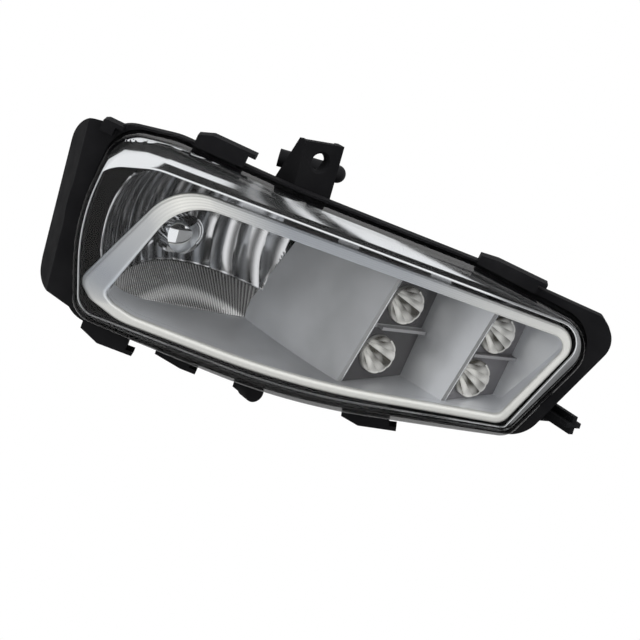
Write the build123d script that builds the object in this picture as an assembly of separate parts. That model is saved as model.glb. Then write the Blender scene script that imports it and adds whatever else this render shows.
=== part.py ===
from build123d import *
from math import atan2, cos, degrees, floor, radians, sin, tan
import os

# Stance: X runs along the lamp to its inboard end, Y goes back into the lamp, Z is up.
SWEEP = 35.0  # degrees from the lens normal to straight ahead
LEAN = 14.5  # degrees that the LED cells lean towards the inboard end
RISE = 10.0  # degrees that the satin floor climbs towards the back

# Middle of the bracket bore, measured from the middle of the lens; it is the origin of the frame.
BORE_X = -21.1
BORE_Y = 25.0
BORE_Z = 55.3

# Outlines seen from the front, each row: along the lamp, up, corner radius.
LENS_EDGE = [
    (-141.5, -8.0, 120.0),
    (-131.0, 48.4, 20.0),
    (-97.0, 50.0, 40.0),
    (-26.0, 39.4, 200.0),
    (80.0, 28.8, 100.0),
    (159.5, 11.8, 20.0),
    (122.5, -57.8, 13.0),
    (0.0, -72.6, 400.0),
    (-129.5, -60.4, 16.0),
]
RIM_EDGE = [
    (-149.5, -8.0, 90.0),
    (-145.5, 22.0, 50.0),
    (-133.2, 50.0, 20.0),
    (-97.0, 51.7, 42.0),
    (-26.0, 41.1, 200.0),
    (80.0, 30.5, 100.0),
    (153.0, 19.6, 3.0),
    (165.2, 8.0, 14.0),
    (131.2, -58.4, 20.0),
    (0.0, -75.4, 400.0),
    (-133.0, -63.4, 18.0),
]
BUCKET_EDGE = [
    (-161.0, -8.0, 60.0),
    (-156.5, 47.6, 14.0),
    (-128.0, 48.4, 20.0),
    (-97.0, 49.9, 40.0),
    (-26.0, 39.4, 200.0),
    (80.0, 28.8, 100.0),
    (153.0, 13.0, 18.0),
    (121.0, -56.5, 12.0),
    (0.0, -71.0, 400.0),
    (-130.0, -59.5, 40.0),
    (-156.0, -49.8, 14.0),
]
BEZEL_WINDOW = [
    (-150.0, -120.0, 1.0),
    (-137.2, 24.5, 22.0),
    (-104.0, 31.2, 40.0),
    (149.2, 10.1, 12.0),
    (117.2, -56.6, 7.0),
    (60.0, -120.0, 1.0),
]
GUIDE_OUTER = [
    (-130.4, -40.5, 7.0),
    (-91.5, 25.9, 33.0),
    (147.6, 7.8, 11.5),
    (117.2, -53.8, 9.0),
    (0.0, -66.9, 500.0),
    (-104.0, -57.6, 40.0),
    (-122.3, -49.6, 9.0),
]
GUIDE_INNER = [
    (-114.8, -45.0, 4.0),
    (-86.2, 18.4, 30.0),
    (140.9, 2.4, 7.0),
    (114.2, -49.8, 6.0),
    (0.0, -62.4, 500.0),
    (-97.0, -53.4, 30.0),
    (-108.8, -49.4, 6.0),
]

# Clear lens.
LENS_APEX = 25.0  # crown height in front of the lens plane
CROWN_RADIUS = 800.0
CROWN_X = 8.0
CROWN_Z = -8.0
LENS_WALL = 2.5
LENS_REAR = 8.0
LENS_ROUND = 6.0
LENS_DRAFT = 1.8  # that the front outline is smaller than the edge, on each side

# Lens groove and seal in the housing rim.
RIM_FRONT = 3.0
RIM_DEPTH = 8.0
GROOVE_FLOOR = 9.2
GROOVE_PLAY = 0.4
RIM_LEDGE = 4.1  # from the lens edge in to the rim opening

# Housing bucket seen from above, rows: along the lamp, depth, corner radius.
BUCKET_FRONT = (-147.0, 150.0)  # outboard and inboard ends at the rim
REAR_OUTBOARD = 63.8  # from the beam axis to the outboard end of the square rear wall
REAR_INBOARD = 28.9
SLOPE_START = (-40.0, 80.0)
SLOPE_END = (60.0, 57.0)
FLAT_END = (118.0, 57.0)
INBOARD_END = 30.0
PLAN_ROUND = (1.0, 10.0, 12.0, 30.0, 20.0, 20.0, 12.0, 1.0)
BUCKET_DROP = 11.0  # degrees that the roof falls towards the back
# Housing bucket seen from its end, rows: depth, up, corner radius.
BUCKET_SIDE = [
    (RIM_FRONT, -74.0, 1.0),
    (RIM_FRONT, 64.0, 1.0),
    (95.0, 46.0, 14.0),
    (95.0, -60.0, 14.0),
]
WALL = 2.5

# Upper fixing bracket.
BORE_RADIUS = 5.0
BRACKET_WIDTH = 25.6
BRACKET_TOP = 11.0  # above the bore
BRACKET_FOOT = 22.0  # below the bore
BRACKET_PLATE = 5.0
BRACKET_CHEEK = 2.6
CHEEK_TOP = 2.0
CHEEK_FOOT = 19.0
BORE_CHAMFER = 1.4

# Snap claws on the rim, pointing inboard, rows: along the lamp and up to the foot of the ramp, turn in
# degrees, length, height, height at the start of the ramp, length of the ramp, depth into the rim.
CLAWS_ABOVE = [
    (-88.0, 51.5, -9.0, 34.0, 7.2, 4.2, 8.0, 12.0),
    (78.4, 29.8, -10.0, 40.0, 6.2, 4.7, 10.0, 12.0),
    (-139.5, 47.2, -10.0, 12.0, 3.2, 2.2, 2.0, 4.0),
]
CLAWS_BELOW = [
    (-123.1, -66.7, -5.0, 32.0, 5.9, 0.8, 11.5, 12.0),
    (-79.3, -69.6, -6.0, 25.0, 3.2, 0.6, 16.0, 12.0),
    (30.1, -74.3, 8.0, 31.5, 5.0, 0.8, 10.0, 12.0),
]
CLAW_FRONT = 0.0
CLAW_TIP = 4.4  # free length at the end
CLAW_TIP_WALL = 2.4

# Round boss and cross-shaped locating pin, both pointing straight ahead.
BOSS_X = -25.5
BOSS_Y = 24.0
BOSS_Z = -80.6
BOSS_RADIUS = 6.0
BOSS_LENGTH = 10.0
BOSS_ROUND = 1.0
BOSS_BLOCK = 11.0
BOSS_BLOCK_HEIGHT = 17.0
BOSS_BLOCK_FOOT = -3.0
BOSS_BLOCK_DEPTH = 6.0
PIN_X = 142.0
PIN_Y = 26.0
PIN_Z = -45.0
PIN_SPAN = 10.5
PIN_WEB = 3.0
PIN_LENGTH = 26.0
PIN_POINT = 1.2  # chamfer at the front of its webs
PIN_ARM = 24.0
PIN_ARM_HEIGHT = 15.0
PIN_ARM_WALL = 4.0

# Chrome bezel.
BEZEL_INSET = 3.2
BEZEL_RING = 0.8  # narrowest width, all round but the top
BEZEL_LIP = -4.0
LIP_WIDTH = 1.5
RAMP_REACH = 14.0
BEZEL_WALL = 2.0

# Frosted light guide.
GUIDE_FRONT = -2.0
GUIDE_DEPTH = 6.0
GUIDE_ROUND = 1.5

# Satin panel, plan points at mid height of the cells: along the lamp, depth.
CELL_Z = -25.0
FOG_EDGE = (-30.5, 53.0)
FRONT_1 = (31.1, 8.0)
DEEP_1 = (60.5, 34.0)
FRONT_2 = (88.8, 8.0)
DEEP_2 = (113.5, 30.0)
FRONT_3 = (134.0, 6.0)
FLOOR_END = (-124.0, 12.0)
PANEL_WALL = 1.6
SKIRT_WALL = 1.8
FLANGE_WALL = 2.0
FLANGE_INSET = 0.6
RIB_WALL = 1.8
RIB_HEIGHT = 5.0
RIB_LENGTH = 30.0
RIB_LIFT = 1.0
# Fixing ears, rows: along the lamp, height of the screw.
EARS = [(-48.0, 31.6), (8.0, 27.0), (62.0, 22.5)]
EAR_WIDTH = 12.0
EAR_BLOCK = 4.5
SEAT_GAP = 0.3
RISER_TAIL = 8.0
FOG_TAIL = 6.5
# Edge of the first riser towards the fog lamp, seen from the front: along the lamp, up.
FOG_SIDE_LOW = (-42.2, -50.3)
FOG_SIDE_HIGH = (-21.0, 3.8)

# LED cells.
CARRIER_WALL = 2.5
LED_FROM_DEEP_1 = 20.6
LED_FROM_DEEP_2 = 19.4
LED_HEIGHTS_1 = (-9.2, -39.7)
LED_HEIGHTS_2 = (-10.2, -37.2)
LED_RADIUS = 11.0
LED_PLAY = 0.2
LED_PROUD = 3.0
LED_FLUTES = 7
LED_TURN = 57.5  # degrees that the flutes are turned from upright
FLUTE_DEPTH = 1.0
COLLAR = 1.0
COLLAR_WALL = 1.4
LED_BASE_RADIUS = 6.0
LED_BASE_DEPTH = 9.0
RECESS_RADIUS = 3.2
RECESS_DEPTH = 3.0
BOARD_WALL = 1.6
BOARD_WIDTH = 22.0
BOARD_HEIGHT = 46.0
EMITTER = 3.0
EMITTER_WALL = 1.0
SINK_BASE = 2.5
SINK_DEPTH = 9.0
SINK_FINS = 6
FIN_WALL = 1.4

# Fog reflector, about its deepest point on the beam axis.
FOG_X = -102.0
FOG_Y = 64.5
FOG_Z = -8.0
FOCUS_OUTBOARD = 22.0
FOCUS_INBOARD = 16.0
FOCUS_UP = 18.0
FACETS_OUTBOARD = 5
FACETS_INBOARD = 6
REACH_OUTBOARD = 58.0
REACH_INBOARD = 60.0
REFLECTOR_LOW = -46.0
REFLECTOR_HIGH = 33.0
REFLECTOR_WALL = 2.0
REFLECTOR_FRONT = 7.5
FILL = 95.0
FLOOR_FRONT_UP = -41.8
FLOOR_CREST_UP = -22.0  # highest place of the fluted floor on the bowl
FLOOR_CREST_AT = 28.0
FLOOR_FALL = 90.0  # focal length of its upper edge, to both sides of the crest
FLOOR_FROM = -32.0
FLOOR_TO = 47.0
FLOOR_FLUTES = 56
FLUTE_RISE = 0.5
FLOOR_WALL = 2.4
NECK_RADIUS = 18.0
BULB_HOLE = 11.5
SEAT = 7.5  # inner face of the rear wall behind the deepest point

# Bulb, its base and its shield, along the beam axis.
BASE_BOSS = 2.0
BOSS_RING = 21.0
SEAL_WALL = 1.0
SEAL_RADIUS = 16.0
BASE_RADIUS = 17.5
BASE_FLANGE = 3.0
BASE_NECK = 10.8
BASE_FRONT = 2.0
BASE_BODY = 13.0
BODY_LENGTH = 15.0
SOCKET_WIDTH = 19.0
SOCKET_DEPTH = 13.0
SOCKET_DROP = 27.0
SOCKET_WALL = 1.8
SOCKET_FLOOR = 14.0
BLADE_WIDTH = 2.8
BLADE_WALL = 0.8
BLADE_SPACING = 6.0
BLADE_LENGTH = 6.0
GLASS_RADIUS = 5.6
GLASS_LENGTH = 27.0
GLASS_WALL = 0.8
FILAMENT_RADIUS = 0.8
FILAMENT_LENGTH = 5.0
LEAD_RADIUS = 0.4
SHIELD_RADIUS = 11.4
SHIELD_WALL = 1.0
SHIELD_REAR = 21.0
SHIELD_LENGTH = 17.0
SHIELD_DOME = 4.0
STRAP_WIDTH = 6.0
STRAP_WALL = 1.4
STRAP_DROP = 13.0

# Rear connector of the LEDs.
PLUG_X = 92.0
PLUG_Z = -10.0
PLUG_WIDTH = 24.0
PLUG_HEIGHT = 13.0
PLUG_LENGTH = 18.0
PLUG_WALL = 1.6
PLUG_FLANGE = 2.0
PLUG_FLANGE_EDGE = 3.0
PIN_SIZE = 1.0
PIN_PITCH = 4.5
PIN_COUNT = 4
PIN_OUT = 8.0

# Vent tube in two saddles behind the bracket.
VENT_X = -44.0
VENT_LENGTH = 39.6
VENT_Y = 54.0
VENT_Z = 46.4
VENT_RADIUS = 5.2
VENT_BORE = 2.6
SADDLE_WALL = 3.0
SADDLE_WIDTH = 14.0
SADDLE_AT = (7.0, 25.0)

# Rear ribs.
RIB_COUNT = 5
REAR_RIB = 2.2
REAR_RIB_HEIGHT = 4.0
REAR_RIB_SPAN = 60.0
RIB_FIRST = -34.0
RIB_PITCH = 17.0

# Panel screws.
SCREW_RADIUS = 1.5
SCREW_HEAD = 3.2
SCREW_HEAD_WALL = 1.8
SCREW_LENGTH = 5.0

AHEAD = Vector(sin(radians(SWEEP)), -cos(radians(SWEEP)), 0)
ACROSS = Vector(cos(radians(SWEEP)), sin(radians(SWEEP)), 0)
SLANT = Vector(tan(radians(LEAN)), 0, 1).normalized()
CLIMB = Vector(0, cos(radians(RISE)), sin(radians(RISE)))
FALL = Vector(0, cos(radians(BUCKET_DROP)), -sin(radians(BUCKET_DROP)))
REAR_WALL = Vector(FOG_X, FOG_Y) - AHEAD * (SEAT + WALL)
REAR_A = REAR_WALL - ACROSS * REAR_OUTBOARD
REAR_B = REAR_WALL + ACROSS * REAR_INBOARD
FAR = 300.0
LOW = -90.0
HIGH = 50.0


def drawn(rows):
    """Closed face from rows of two coordinates and a corner radius."""
    points = [(a, b) for a, b, r in rows]
    radii = [r for a, b, r in rows]
    return make_face(FilletPolyline(*points, radius=radii, close=True))


def grown(face, amount):
    """The face grown outwards, or inwards where the amount is negative."""
    return offset(face, amount=amount, kind=Kind.ARC)


def at_depth(face, depth):
    """A front-view face placed at a depth."""
    return Plane.XZ.offset(-depth) * face


def slab(face, front, back):
    """Straight prism of a front-view face between two depths."""
    return extrude(at_depth(face, front), amount=front - back)


def climbing(face, front, length):
    """Prism of a front-view face that climbs towards the back, as the satin floor does."""
    return extrude(at_depth(face, front), amount=length, dir=CLIMB)


def leaning(points, low, high):
    """Prism of a plan outline that leans as the cells do, between two heights."""
    face = make_face(Polyline(*points, close=True))
    shift = (low - CELL_Z) * tan(radians(LEAN))
    length = (high - low) / cos(radians(LEAN))
    return extrude(Pos(shift, 0, low) * face, amount=length, dir=SLANT)


def aimed(x, y, z):
    """Frame at a point whose Z axis points straight ahead, with X across and Y up."""
    return Plane(origin=(x, y, z), x_dir=ACROSS, z_dir=AHEAD).location


def disc(radius, back, front):
    """Cylinder on the local Z axis between two distances."""
    return Pos(0, 0, back) * Cylinder(radius, front - back, align=(Align.CENTER, Align.CENTER, Align.MIN))


def crowned(face, apex, radius, rounding):
    """Cap with the outline of a face, a ball-shaped front and a rounded front edge."""
    ball = Pos(CROWN_X, radius - apex, CROWN_Z) * Sphere(radius)
    nose = at_depth(grown(face, -LENS_DRAFT), -apex - WALL)
    cap = (loft([at_depth(face, RIM_FRONT), nose], ruled=True) & ball) + slab(face, RIM_FRONT, LENS_REAR)
    front = cap.faces().filter_by(GeomType.SPHERE)
    return fillet(front.edges(), rounding)


def bucket(inset):
    """Housing body from its front, plan and end outlines, each drawn in by the inset."""
    front = extrude(at_depth(grown(drawn(BUCKET_EDGE), -inset), RIM_FRONT), amount=FAR, dir=FALL)
    corners = [
        (BUCKET_FRONT[0], RIM_FRONT),
        (REAR_A.X, REAR_A.Y),
        (REAR_B.X, REAR_B.Y),
        SLOPE_START,
        SLOPE_END,
        FLAT_END,
        (BUCKET_FRONT[1], INBOARD_END),
        (BUCKET_FRONT[1], RIM_FRONT),
    ]
    rows = [(x, y, r) for (x, y), r in zip(corners, PLAN_ROUND)]
    plan = extrude(grown(drawn(rows), -inset), amount=FAR, both=True)
    end = extrude(Plane.YZ * grown(drawn(BUCKET_SIDE), -inset), amount=FAR, both=True)
    return front & plan & end


def save(part, node):
    """Writes one node with the bracket bore as its origin."""
    export_step(Pos(-BORE_X, -BORE_Y, -BORE_Z) * part, f"parts/{node}.step")


os.makedirs("parts", exist_ok=True)
lens_face = drawn(LENS_EDGE)
guide_in = drawn(GUIDE_INNER)
guide_out = drawn(GUIDE_OUTER)
opening = drawn(BEZEL_WINDOW) & grown(lens_face, -BEZEL_INSET - BEZEL_RING)

# Clear lens: an outer cap less an inner cap that runs out through the back.
outer_cap = crowned(lens_face, LENS_APEX, CROWN_RADIUS, LENS_ROUND)
inner_face = grown(lens_face, -LENS_WALL)
inner_cap = crowned(inner_face, LENS_APEX - LENS_WALL, CROWN_RADIUS - LENS_WALL, LENS_ROUND - LENS_WALL)
outer_lens = outer_cap - inner_cap
save(outer_lens, "outer_lens")

# Seal at the bottom of the lens groove.
groove_face = grown(lens_face, GROOVE_PLAY) - grown(lens_face, -LENS_WALL - GROOVE_PLAY)
lens_seal = slab(groove_face, LENS_REAR, GROOVE_FLOOR)
save(lens_seal, "lens_seal")

# Satin panel: three leaning risers, a climbing skirt whose foot is the floor, and a front flange.
riser_ends = [(FOG_EDGE, FRONT_1), (DEEP_1, FRONT_2), (DEEP_2, FRONT_3)]
inner_panel = Part()
panel_front = GUIDE_FRONT + GUIDE_DEPTH
room = climbing(grown(guide_in, SKIRT_WALL / 2), panel_front, FAR / 2)
for (deep, front), tail in zip(riser_ends, (FOG_TAIL, RISER_TAIL, RISER_TAIL)):
    along = Vector(front[0] - deep[0], front[1] - deep[1]).normalized()
    behind = Vector(-along.Y, along.X) * PANEL_WALL
    edge = PANEL_WALL / -along.Y
    end = Vector(*deep) - along * tail
    back = end + behind
    points = [(end.X, end.Y), front, (front[0] + edge, front[1]), (back.X, back.Y)]
    inner_panel += leaning(points, LOW, HIGH) & room
side_slope = (FOG_SIDE_HIGH[0] - FOG_SIDE_LOW[0]) / (FOG_SIDE_HIGH[1] - FOG_SIDE_LOW[1])
side_low = FOG_SIDE_LOW[0] + (LOW - FOG_SIDE_LOW[1]) * side_slope
side_high = FOG_SIDE_LOW[0] + (HIGH - FOG_SIDE_LOW[1]) * side_slope
side_face = make_face(Polyline((side_low, LOW), (side_high, HIGH), (-FAR, HIGH), (-FAR, LOW), close=True))
inner_panel -= slab(side_face, FRONT_1[1], FAR)
reach = [FLOOR_END, FOG_EDGE, FRONT_1, DEEP_1, FRONT_2, DEEP_2, FRONT_3]
ahead_of_back = [(-FAR, -FAR), (-FAR, panel_front)] + reach + [(FAR, panel_front), (FAR, -FAR)]
plan_room = Pos(0, PANEL_WALL, 0) * leaning(ahead_of_back, LOW, HIGH)
skirt = climbing(grown(guide_in, SKIRT_WALL) - guide_in, panel_front, FAR / 3)
fog_side = Pos(FOG_EDGE[0] - FAR / 2, 0, CELL_Z + FAR / 2) * Box(FAR, FAR, FAR)
inner_panel += (skirt & plan_room) - fog_side
flange_in = grown(guide_in, SKIRT_WALL / 2)
flange_face = grown(guide_out, -FLANGE_INSET) - flange_in
inner_panel += slab(flange_face, panel_front, panel_front + FLANGE_WALL)
ear_room = slab(grown(lens_face, -RIM_LEDGE - SEAT_GAP) - flange_in, panel_front, FAR)
for x, z in EARS:
    ear_box = Pos(x, panel_front, z - EAR_WIDTH) * Box(
        EAR_WIDTH, FLANGE_WALL, FAR, align=(Align.CENTER, Align.MIN, Align.MIN)
    )
    inner_panel += ear_box & ear_room
    inner_panel -= Pos(x, panel_front, z) * Rot(90, 0, 0) * Cylinder(SCREW_RADIUS, FAR / 10)

# Screws through the ears into the housing blocks.
ear_back = panel_front + FLANGE_WALL
panel_screws = Part()
for x, z in EARS:
    point = Pos(x, panel_front, z) * Rot(90, 0, 0)
    panel_screws += point * disc(SCREW_HEAD, 0, SCREW_HEAD_WALL)
    panel_screws += point * disc(SCREW_RADIUS, -SCREW_LENGTH, 0)
save(panel_screws, "panel_screws")

# Chrome bezel: a hill that falls away from the lip, hollow behind, open in the middle.
foot = at_depth(grown(opening, RAMP_REACH), RIM_FRONT)
top = at_depth(grown(opening, LIP_WIDTH), BEZEL_LIP)
hill = loft([foot, top], ruled=True)
hollow = (Pos(0, BEZEL_WALL, 0) * hill) - slab(grown(opening, LIP_WIDTH), -FAR, FAR)
bezel_body = slab(grown(lens_face, -BEZEL_INSET) - opening, BEZEL_LIP, RIM_FRONT)
chrome_bezel = (bezel_body & hill) - hollow
save(chrome_bezel, "chrome_bezel")

# Frosted light guide with rounded front edges.
guide = slab(guide_out - guide_in, GUIDE_FRONT, panel_front)
guide_edges = guide.edges().filter_by_position(Axis.Y, GUIDE_FRONT - SEAT_GAP, GUIDE_FRONT + SEAT_GAP)
light_guide_frame = fillet(guide_edges, GUIDE_ROUND)
save(light_guide_frame, "light_guide_frame")


def scallops(start, pitch, count, rise, depth):
    """Row of rounded flutes along X on the +Y side of a strip of the given depth."""
    arcs = []
    for i in range(count):
        left = start + i * pitch
        arcs.append(ThreePointArc((left, 0), (left + pitch / 2, rise), (left + pitch, 0)))
    end = start + count * pitch
    arcs.append(Polyline((end, 0), (end, -depth), (start, -depth), (start, 0)))
    return make_face(arcs)


# Clear LED optic: collimator body with a collar, a recess for the emitter and a fluted front.
back = CARRIER_WALL
optic_profile = [
    (RECESS_RADIUS, -LED_BASE_DEPTH),
    (LED_BASE_RADIUS, -LED_BASE_DEPTH),
    (LED_RADIUS, -back - COLLAR_WALL),
    (LED_RADIUS + COLLAR, -back - COLLAR_WALL),
    (LED_RADIUS + COLLAR, -back),
    (LED_RADIUS, -back),
    (LED_RADIUS, LED_PROUD),
    (0, LED_PROUD),
    (0, -LED_BASE_DEPTH + RECESS_DEPTH),
    (RECESS_RADIUS, -LED_BASE_DEPTH + RECESS_DEPTH),
]
optic = revolve(Plane.XZ * make_face(Polyline(*optic_profile, close=True)), Axis.Z)
pitch = 2 * LED_RADIUS / LED_FLUTES
comb = scallops(-LED_RADIUS, pitch, LED_FLUTES, FLUTE_DEPTH, FLUTE_DEPTH + SEAT_GAP)
fluted_front = extrude(Plane.XZ * comb, amount=FAR / 10, both=True)
cover = Pos(0, 0, LED_PROUD - FLUTE_DEPTH) * Rot(0, 0, LED_TURN) * fluted_front
core = disc(LED_RADIUS + COLLAR, -LED_BASE_DEPTH, LED_PROUD - FLUTE_DEPTH)
optic = optic & (core + cover)

led_emitters = Part()
number = 0
cells = [
    (FOG_EDGE, FRONT_1, DEEP_1, FRONT_2, LED_FROM_DEEP_1, LED_HEIGHTS_1),
    (DEEP_1, FRONT_2, DEEP_2, FRONT_3, LED_FROM_DEEP_2, LED_HEIGHTS_2),
]
sight = climbing(guide_in, panel_front, FAR / 2)
for index, (deep_a, front_a, deep_b, front_b, inwards, heights) in enumerate(cells, 1):
    # Carrier: a plate square to the beam with a rib between its optics, bounded by risers and skirt.
    along_a = Vector(front_a[0] - deep_a[0], front_a[1] - deep_a[1]).normalized()
    along_b = Vector(front_b[0] - deep_b[0], front_b[1] - deep_b[1]).normalized()
    edge = PANEL_WALL / -along_a.Y
    near = Vector(front_a[0] + edge, front_a[1])
    far_a = near - along_a * FAR / 3
    far_b = Vector(*deep_b) - along_b * RISER_TAIL
    band = [(near.X, near.Y), front_b, (far_b.X, far_b.Y), (far_a.X, far_a.Y)]
    plate_frame = aimed(deep_b[0], deep_b[1], CELL_Z)
    plate = plate_frame * Box(FAR / 2, FAR / 2, CARRIER_WALL, align=(Align.CENTER, Align.CENTER, Align.MAX))
    height = sum(heights) / 2 + RIB_LIFT
    along_plate = (height - CELL_Z) * tan(radians(LEAN)) / cos(radians(SWEEP))
    plate += plate_frame * Pos(along_plate, height - CELL_Z, 0) * Box(
        RIB_LENGTH, RIB_WALL, RIB_HEIGHT, align=(Align.MAX, Align.CENTER, Align.MIN)
    )
    carrier = (plate & leaning(band, LOW, HIGH) & sight) - inner_panel
    # Optics along the lean of the cell.
    frames = []
    for height in heights:
        along_plate = (height - CELL_Z) * tan(radians(LEAN)) / cos(radians(SWEEP)) - inwards
        led_frame = plate_frame * Pos(along_plate, height - CELL_Z, 0)
        frames.append(led_frame)
        number += 1
        carrier -= led_frame * disc(LED_RADIUS + LED_PLAY, -FAR / 10, FAR / 10)
        inner_panel -= led_frame * disc(LED_RADIUS + COLLAR + LED_PLAY, -LED_BASE_DEPTH, -CARRIER_WALL)
        inner_panel -= led_frame * disc(LED_RADIUS + LED_PLAY, -CARRIER_WALL, LED_PROUD)
        save(led_frame * optic, f"led_lens_{number}")
        led_emitters += led_frame * Pos(0, 0, -LED_BASE_DEPTH) * Box(
            EMITTER, EMITTER, EMITTER_WALL, align=(Align.CENTER, Align.CENTER, Align.MIN)
        )
    save(carrier, f"led_carrier_{index}")
    # Board and finned heat sink behind each pair, turned with the lean.
    upper, lower = frames
    middle = (upper.position + lower.position) * 0.5
    span = upper.position - lower.position
    turn = -degrees(atan2(span.dot(ACROSS), span.Z))
    stack = aimed(middle.X, middle.Y, middle.Z) * Rot(0, 0, turn)
    board_back = -LED_BASE_DEPTH - BOARD_WALL
    board = stack * Pos(0, 0, board_back) * Box(
        BOARD_WIDTH, BOARD_HEIGHT, BOARD_WALL, align=(Align.CENTER, Align.CENTER, Align.MIN)
    )
    save(board, f"led_board_{index}")
    sink = Box(BOARD_WIDTH, BOARD_HEIGHT, SINK_BASE, align=(Align.CENTER, Align.CENTER, Align.MAX))
    fin_pitch = (BOARD_WIDTH - FIN_WALL) / (SINK_FINS - 1)
    for i in range(SINK_FINS):
        fin_x = -BOARD_WIDTH / 2 + FIN_WALL / 2 + i * fin_pitch
        sink += Pos(fin_x, 0, 0) * Box(
            FIN_WALL, BOARD_HEIGHT, SINK_DEPTH, align=(Align.CENTER, Align.CENTER, Align.MAX)
        )
    save(stack * Pos(0, 0, board_back) * sink, f"heat_sink_{index}")
save(led_emitters, "led_emitters")
inner_panel = inner_panel.solids().sort_by(SortBy.VOLUME)[-1]
save(inner_panel, "inner_panel")


# Fog reflector: upright facets, each a parabola carried along a chord, over a fluted floor.
def facet_depth(across):
    """Depth of the reflector at a distance across, on the side's own focal length."""
    focus = FOCUS_OUTBOARD if across < 0 else FOCUS_INBOARD
    return across * across / (4 * focus)


def bowl(setback):
    """Everything in front of the faceted surface, moved back by the setback."""
    low, high = REFLECTOR_LOW, REFLECTOR_HIGH
    curve = Bezier(
        (low, low * low / (4 * FOCUS_UP)),
        ((low + high) / 2, low * high / (4 * FOCUS_UP)),
        (high, high * high / (4 * FOCUS_UP)),
    )
    profile = make_face([curve, Polyline(curve @ 1, (high, FILL), (low, FILL), curve @ 0)])
    outboard = [-REACH_OUTBOARD + i * REACH_OUTBOARD / FACETS_OUTBOARD for i in range(FACETS_OUTBOARD)]
    inboard = [i * REACH_INBOARD / FACETS_INBOARD for i in range(FACETS_INBOARD + 1)]
    stations = outboard + inboard
    solid = Part()
    for a, b in zip(stations, stations[1:]):
        chord = Vector(b - a, 0, facet_depth(b) - facet_depth(a))
        start = Pos(a, 0, facet_depth(a) - setback) * (Plane.YZ * profile)
        solid += extrude(start, amount=chord.length, dir=chord.normalized())
    return solid


def from_fog(point):
    """Plan point of the satin floor's rear edge as across and ahead of the reflector's deepest point."""
    lean = (FOG_Z + FLOOR_FRONT_UP - CELL_Z) * tan(radians(LEAN))
    arm = Vector(point[0] + lean - FOG_X, point[1] + PANEL_WALL + SEAT_GAP - FOG_Y)
    return arm.dot(ACROSS), arm.dot(AHEAD)


def facet_chord(across):
    """Depth of the flat facet at a distance across."""
    width = REACH_OUTBOARD / FACETS_OUTBOARD if across < 0 else REACH_INBOARD / FACETS_INBOARD
    start = floor(across / width) * width
    share = (across - start) / width
    return facet_depth(start) + share * (facet_depth(start + width) - facet_depth(start))


def floor_section(across, top, bottom, spare):
    """Section of the fluted floor: from the bowl's wall down to the rear edge of the satin floor."""
    fall = (across - FLOOR_CREST_AT) ** 2 / (4 * FLOOR_FALL)
    back_up = FLOOR_CREST_UP - fall
    back_out = facet_chord(across) + back_up**2 / (4 * FOCUS_UP) - REFLECTOR_WALL / 2 - spare
    (from_across, from_ahead), (to_across, to_ahead) = from_fog(FLOOR_END), from_fog(FOG_EDGE)
    share = (across - from_across) / (to_across - from_across)
    front_out = from_ahead + share * (to_ahead - from_ahead) + spare
    outline = Polyline(
        (back_up + top, back_out),
        (FLOOR_FRONT_UP + top, front_out),
        (FLOOR_FRONT_UP + bottom, front_out),
        (back_up + bottom, back_out),
        close=True,
    )
    return Pos(across, 0, 0) * (Plane.YZ * make_face(outline))


front_bowl = bowl(0)
back_bowl = bowl(REFLECTOR_WALL)
half_pitch = (FLOOR_TO - FLOOR_FROM) / (2 * FLOOR_FLUTES)
flutes = []
under = []
for i in range(2 * FLOOR_FLUTES + 1):
    across = FLOOR_FROM + i * half_pitch
    flutes.append(floor_section(across, FLUTE_RISE * (i % 2), -FLOOR_WALL, 0))
    if i % FACETS_OUTBOARD == 0 or i == 2 * FLOOR_FLUTES:
        under.append(floor_section(across, -FLOOR_WALL / 2, -FAR / 5, REFLECTOR_WALL))
fluted_floor = loft(flutes, ruled=True)
shell = back_bowl - front_bowl - loft(under, ruled=True)
neck = disc(NECK_RADIUS, -SEAT, REFLECTOR_WALL) - front_bowl
reflector = shell + fluted_floor + neck - disc(BULB_HOLE, -FAR / 10, FAR / 10)
beam = aimed(FOG_X, FOG_Y, FOG_Z)
reflector = beam * reflector
ahead = Pos(0, REFLECTOR_FRONT - FAR / 2, 0) * Box(FAR * 2, FAR, FAR)
along = Vector(FRONT_1[0] - FOG_EDGE[0], FRONT_1[1] - FOG_EDGE[1]).normalized()
back_off = Vector(-along.Y, along.X) * (PANEL_WALL + SEAT_GAP)
corner = Vector(*FOG_EDGE) + back_off - along * SEAT_GAP * 5
end = Vector(*FRONT_1) + back_off
panel_side = leaning([(corner.X, corner.Y), (end.X, end.Y), (end.X, -FAR), (corner.X, -FAR)], LOW, HIGH)
fog_reflector = reflector - ahead - panel_side - inner_panel
fog_reflector = fog_reflector.solids().sort_by(SortBy.VOLUME)[-1]
save(fog_reflector, "fog_reflector")

# Bulb: a hollow glass capsule, a coil on two leads, and a base with a drop socket.
wall_back = SEAT + WALL
seal_front = -wall_back - BASE_BOSS
seal_back = seal_front - SEAL_WALL
flange_back = seal_back - BASE_FLANGE
glass_foot = BASE_FRONT


def capsule(radius, foot, length):
    """Round-ended rod on the local Z axis."""
    return disc(radius, foot, foot + length - radius) + Pos(0, 0, foot + length - radius) * Sphere(radius)


bulb_glass = capsule(GLASS_RADIUS, glass_foot, GLASS_LENGTH)
bulb_glass -= capsule(GLASS_RADIUS - GLASS_WALL, glass_foot + GLASS_WALL, GLASS_LENGTH - 2 * GLASS_WALL)
save(beam * bulb_glass, "bulb_glass")

coil_z = FOCUS_UP
coil = Pos(0, 0, coil_z) * Rot(0, 90, 0) * Cylinder(FILAMENT_RADIUS, FILAMENT_LENGTH)
for side in (-1, 1):
    lead_x = side * (FILAMENT_LENGTH / 2 - LEAD_RADIUS)
    coil += Pos(lead_x, 0, 0) * disc(LEAD_RADIUS, glass_foot + GLASS_WALL, coil_z)
save(beam * coil, "bulb_filament")

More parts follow.
